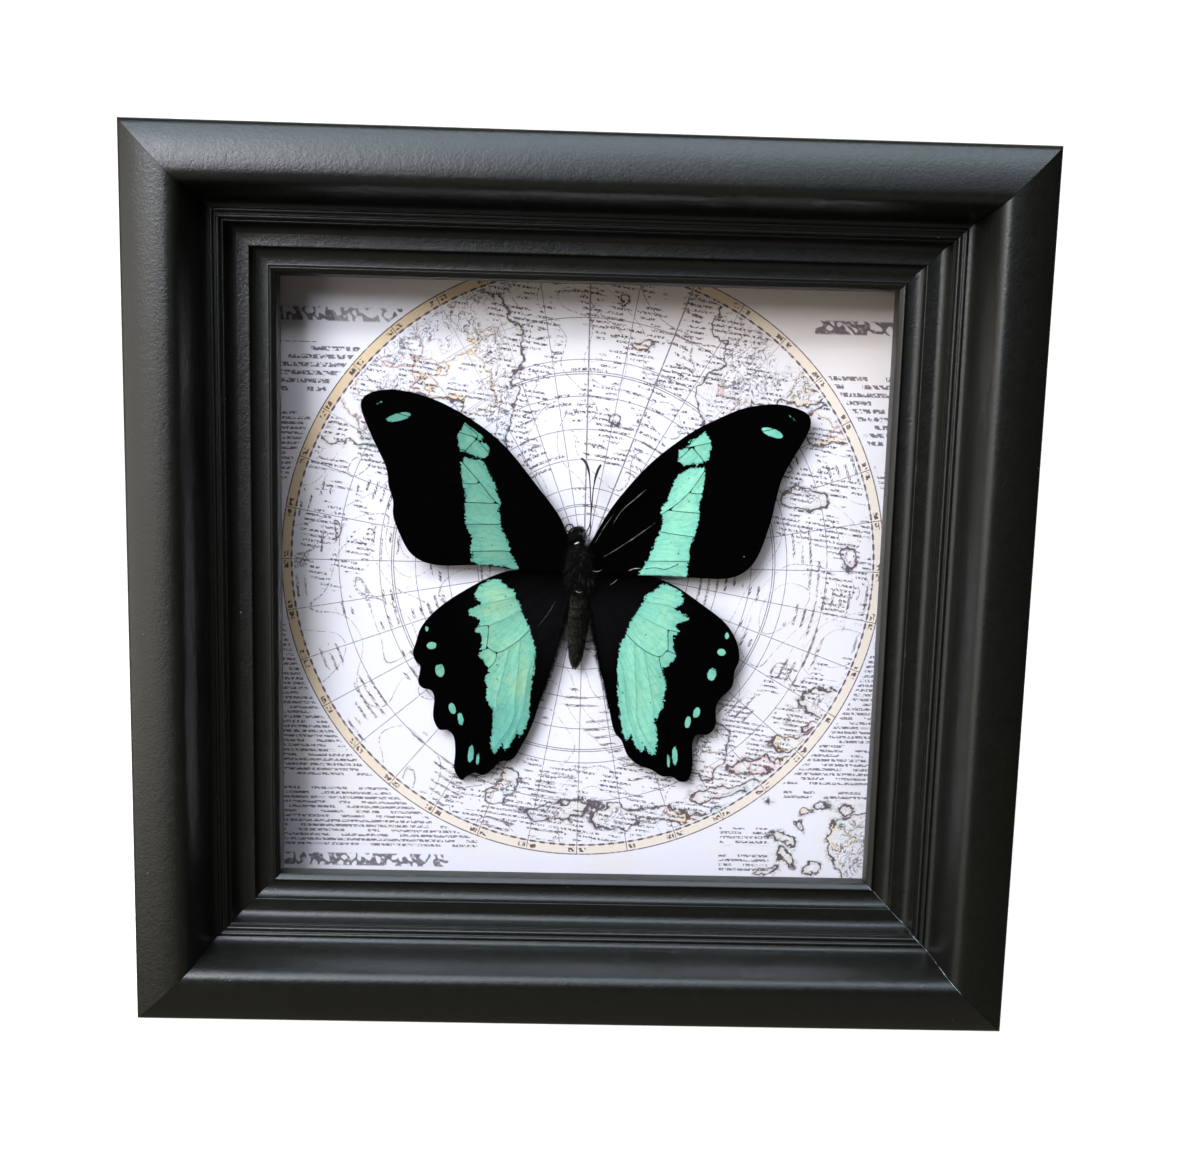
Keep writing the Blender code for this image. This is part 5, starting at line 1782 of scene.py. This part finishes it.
CARD_TINT = (0.72, 0.86, 1.0)
new_lamp("window_light", (-450, -600, 440), (500, 460), 11.4, (0.9, 0.93, 1.0))
window_top = new_lamp("window_top", (-60, -520, 600), (900, 140), 4.0, (0.9, 0.94, 1.0))
floor_glow = new_lamp("floor_glow", (-60, -480, -560), (900, 300), 0.9, (1.0, 0.94, 0.9))
window_top.visible_glossy = floor_glow.visible_glossy = False
floor_glow.visible_transmission = False
new_lamp("wall_light", (-757, -306, -40), (1180, 530), 4.2, (1.0, 0.94, 0.85))
high_card = new_lamp("high_card", (0, -338, 725), (1000, 430), 8.0, CARD_TINT)
low_card = new_lamp("low_card", (0, -655, 459), (900, 430), 1.4, CARD_TINT)
high_card.visible_diffuse = low_card.visible_diffuse = False


def new_room(front, side, below, behind, seen):
    """The room's own light, by the direction it comes from. A camera sees a pale wall."""
    room = bpy.data.worlds.new("room")
    room.use_nodes = True
    tree = Tree(room.node_tree)
    _, y, z = tree.xyz(tree.out("TexCoord", output="Generated"))
    light = tree.mix(tree.step(y, -0.92, -0.8), front, side)
    light = tree.mix(tree.step(z, -0.32, -0.6), light, below)
    light = tree.mix(tree.step(y, 0.6, 0.92), light, behind)
    light = tree.mix(tree.out("LightPath", output="Is Camera Ray"), light, seen)
    background = room.node_tree.nodes["Background"]
    tree.connect(light, background.inputs["Color"])
    bpy.context.scene.world = room


new_room(
    colour(0.004, 0.004, 0.004), colour(0.035, 0.028, 0.024),
    colour(0.22, 0.2, 0.16), colour(1.5, 1.46, 1.4), colour(0.95, 0.95, 0.95),
)  # fmt: skip
bpy.context.scene.view_settings.view_transform = "Standard"

# %% [markdown]
# ## Camera
# The camera is close, a little above the middle, and turned and tipped slightly, so the
# square frame looks wider at its top left. Three small turns, in order about the upright,
# sideways and forward axes, set where it looks.

# %% Camera
CAMERA_PLACE = Vector((-3.06, -278.4, 128.05)) * MM
PAN, TILT, ROLL = -0.0239, -0.1495, -0.0267

lens = bpy.data.cameras.new("camera")
lens.sensor_width = 36.0
lens.lens = 42.765
lens.clip_start = 0.01
camera = bpy.data.objects.new("camera", lens)
turned = Matrix.Rotation(PAN, 3, "Z") @ Matrix.Rotation(TILT, 3, "X") @ Matrix.Rotation(ROLL, 3, "Y")
right, ahead, up = turned.col
camera.matrix_world = Matrix((right, up, -ahead)).transposed().to_4x4()
camera.location = CAMERA_PLACE
bpy.context.scene.collection.objects.link(camera)
bpy.context.scene.camera = camera
print(f"camera {math.degrees(-TILT):.1f} degrees down, {lens.lens:.1f} mm lens")

# %% Sizes and finish
boxes = {"solid": solid_box, "looks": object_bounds()}
for name, (start, end) in boxes.items():
    print(name, "box in mm:", [round(length / MM, 2) for length in end - start])
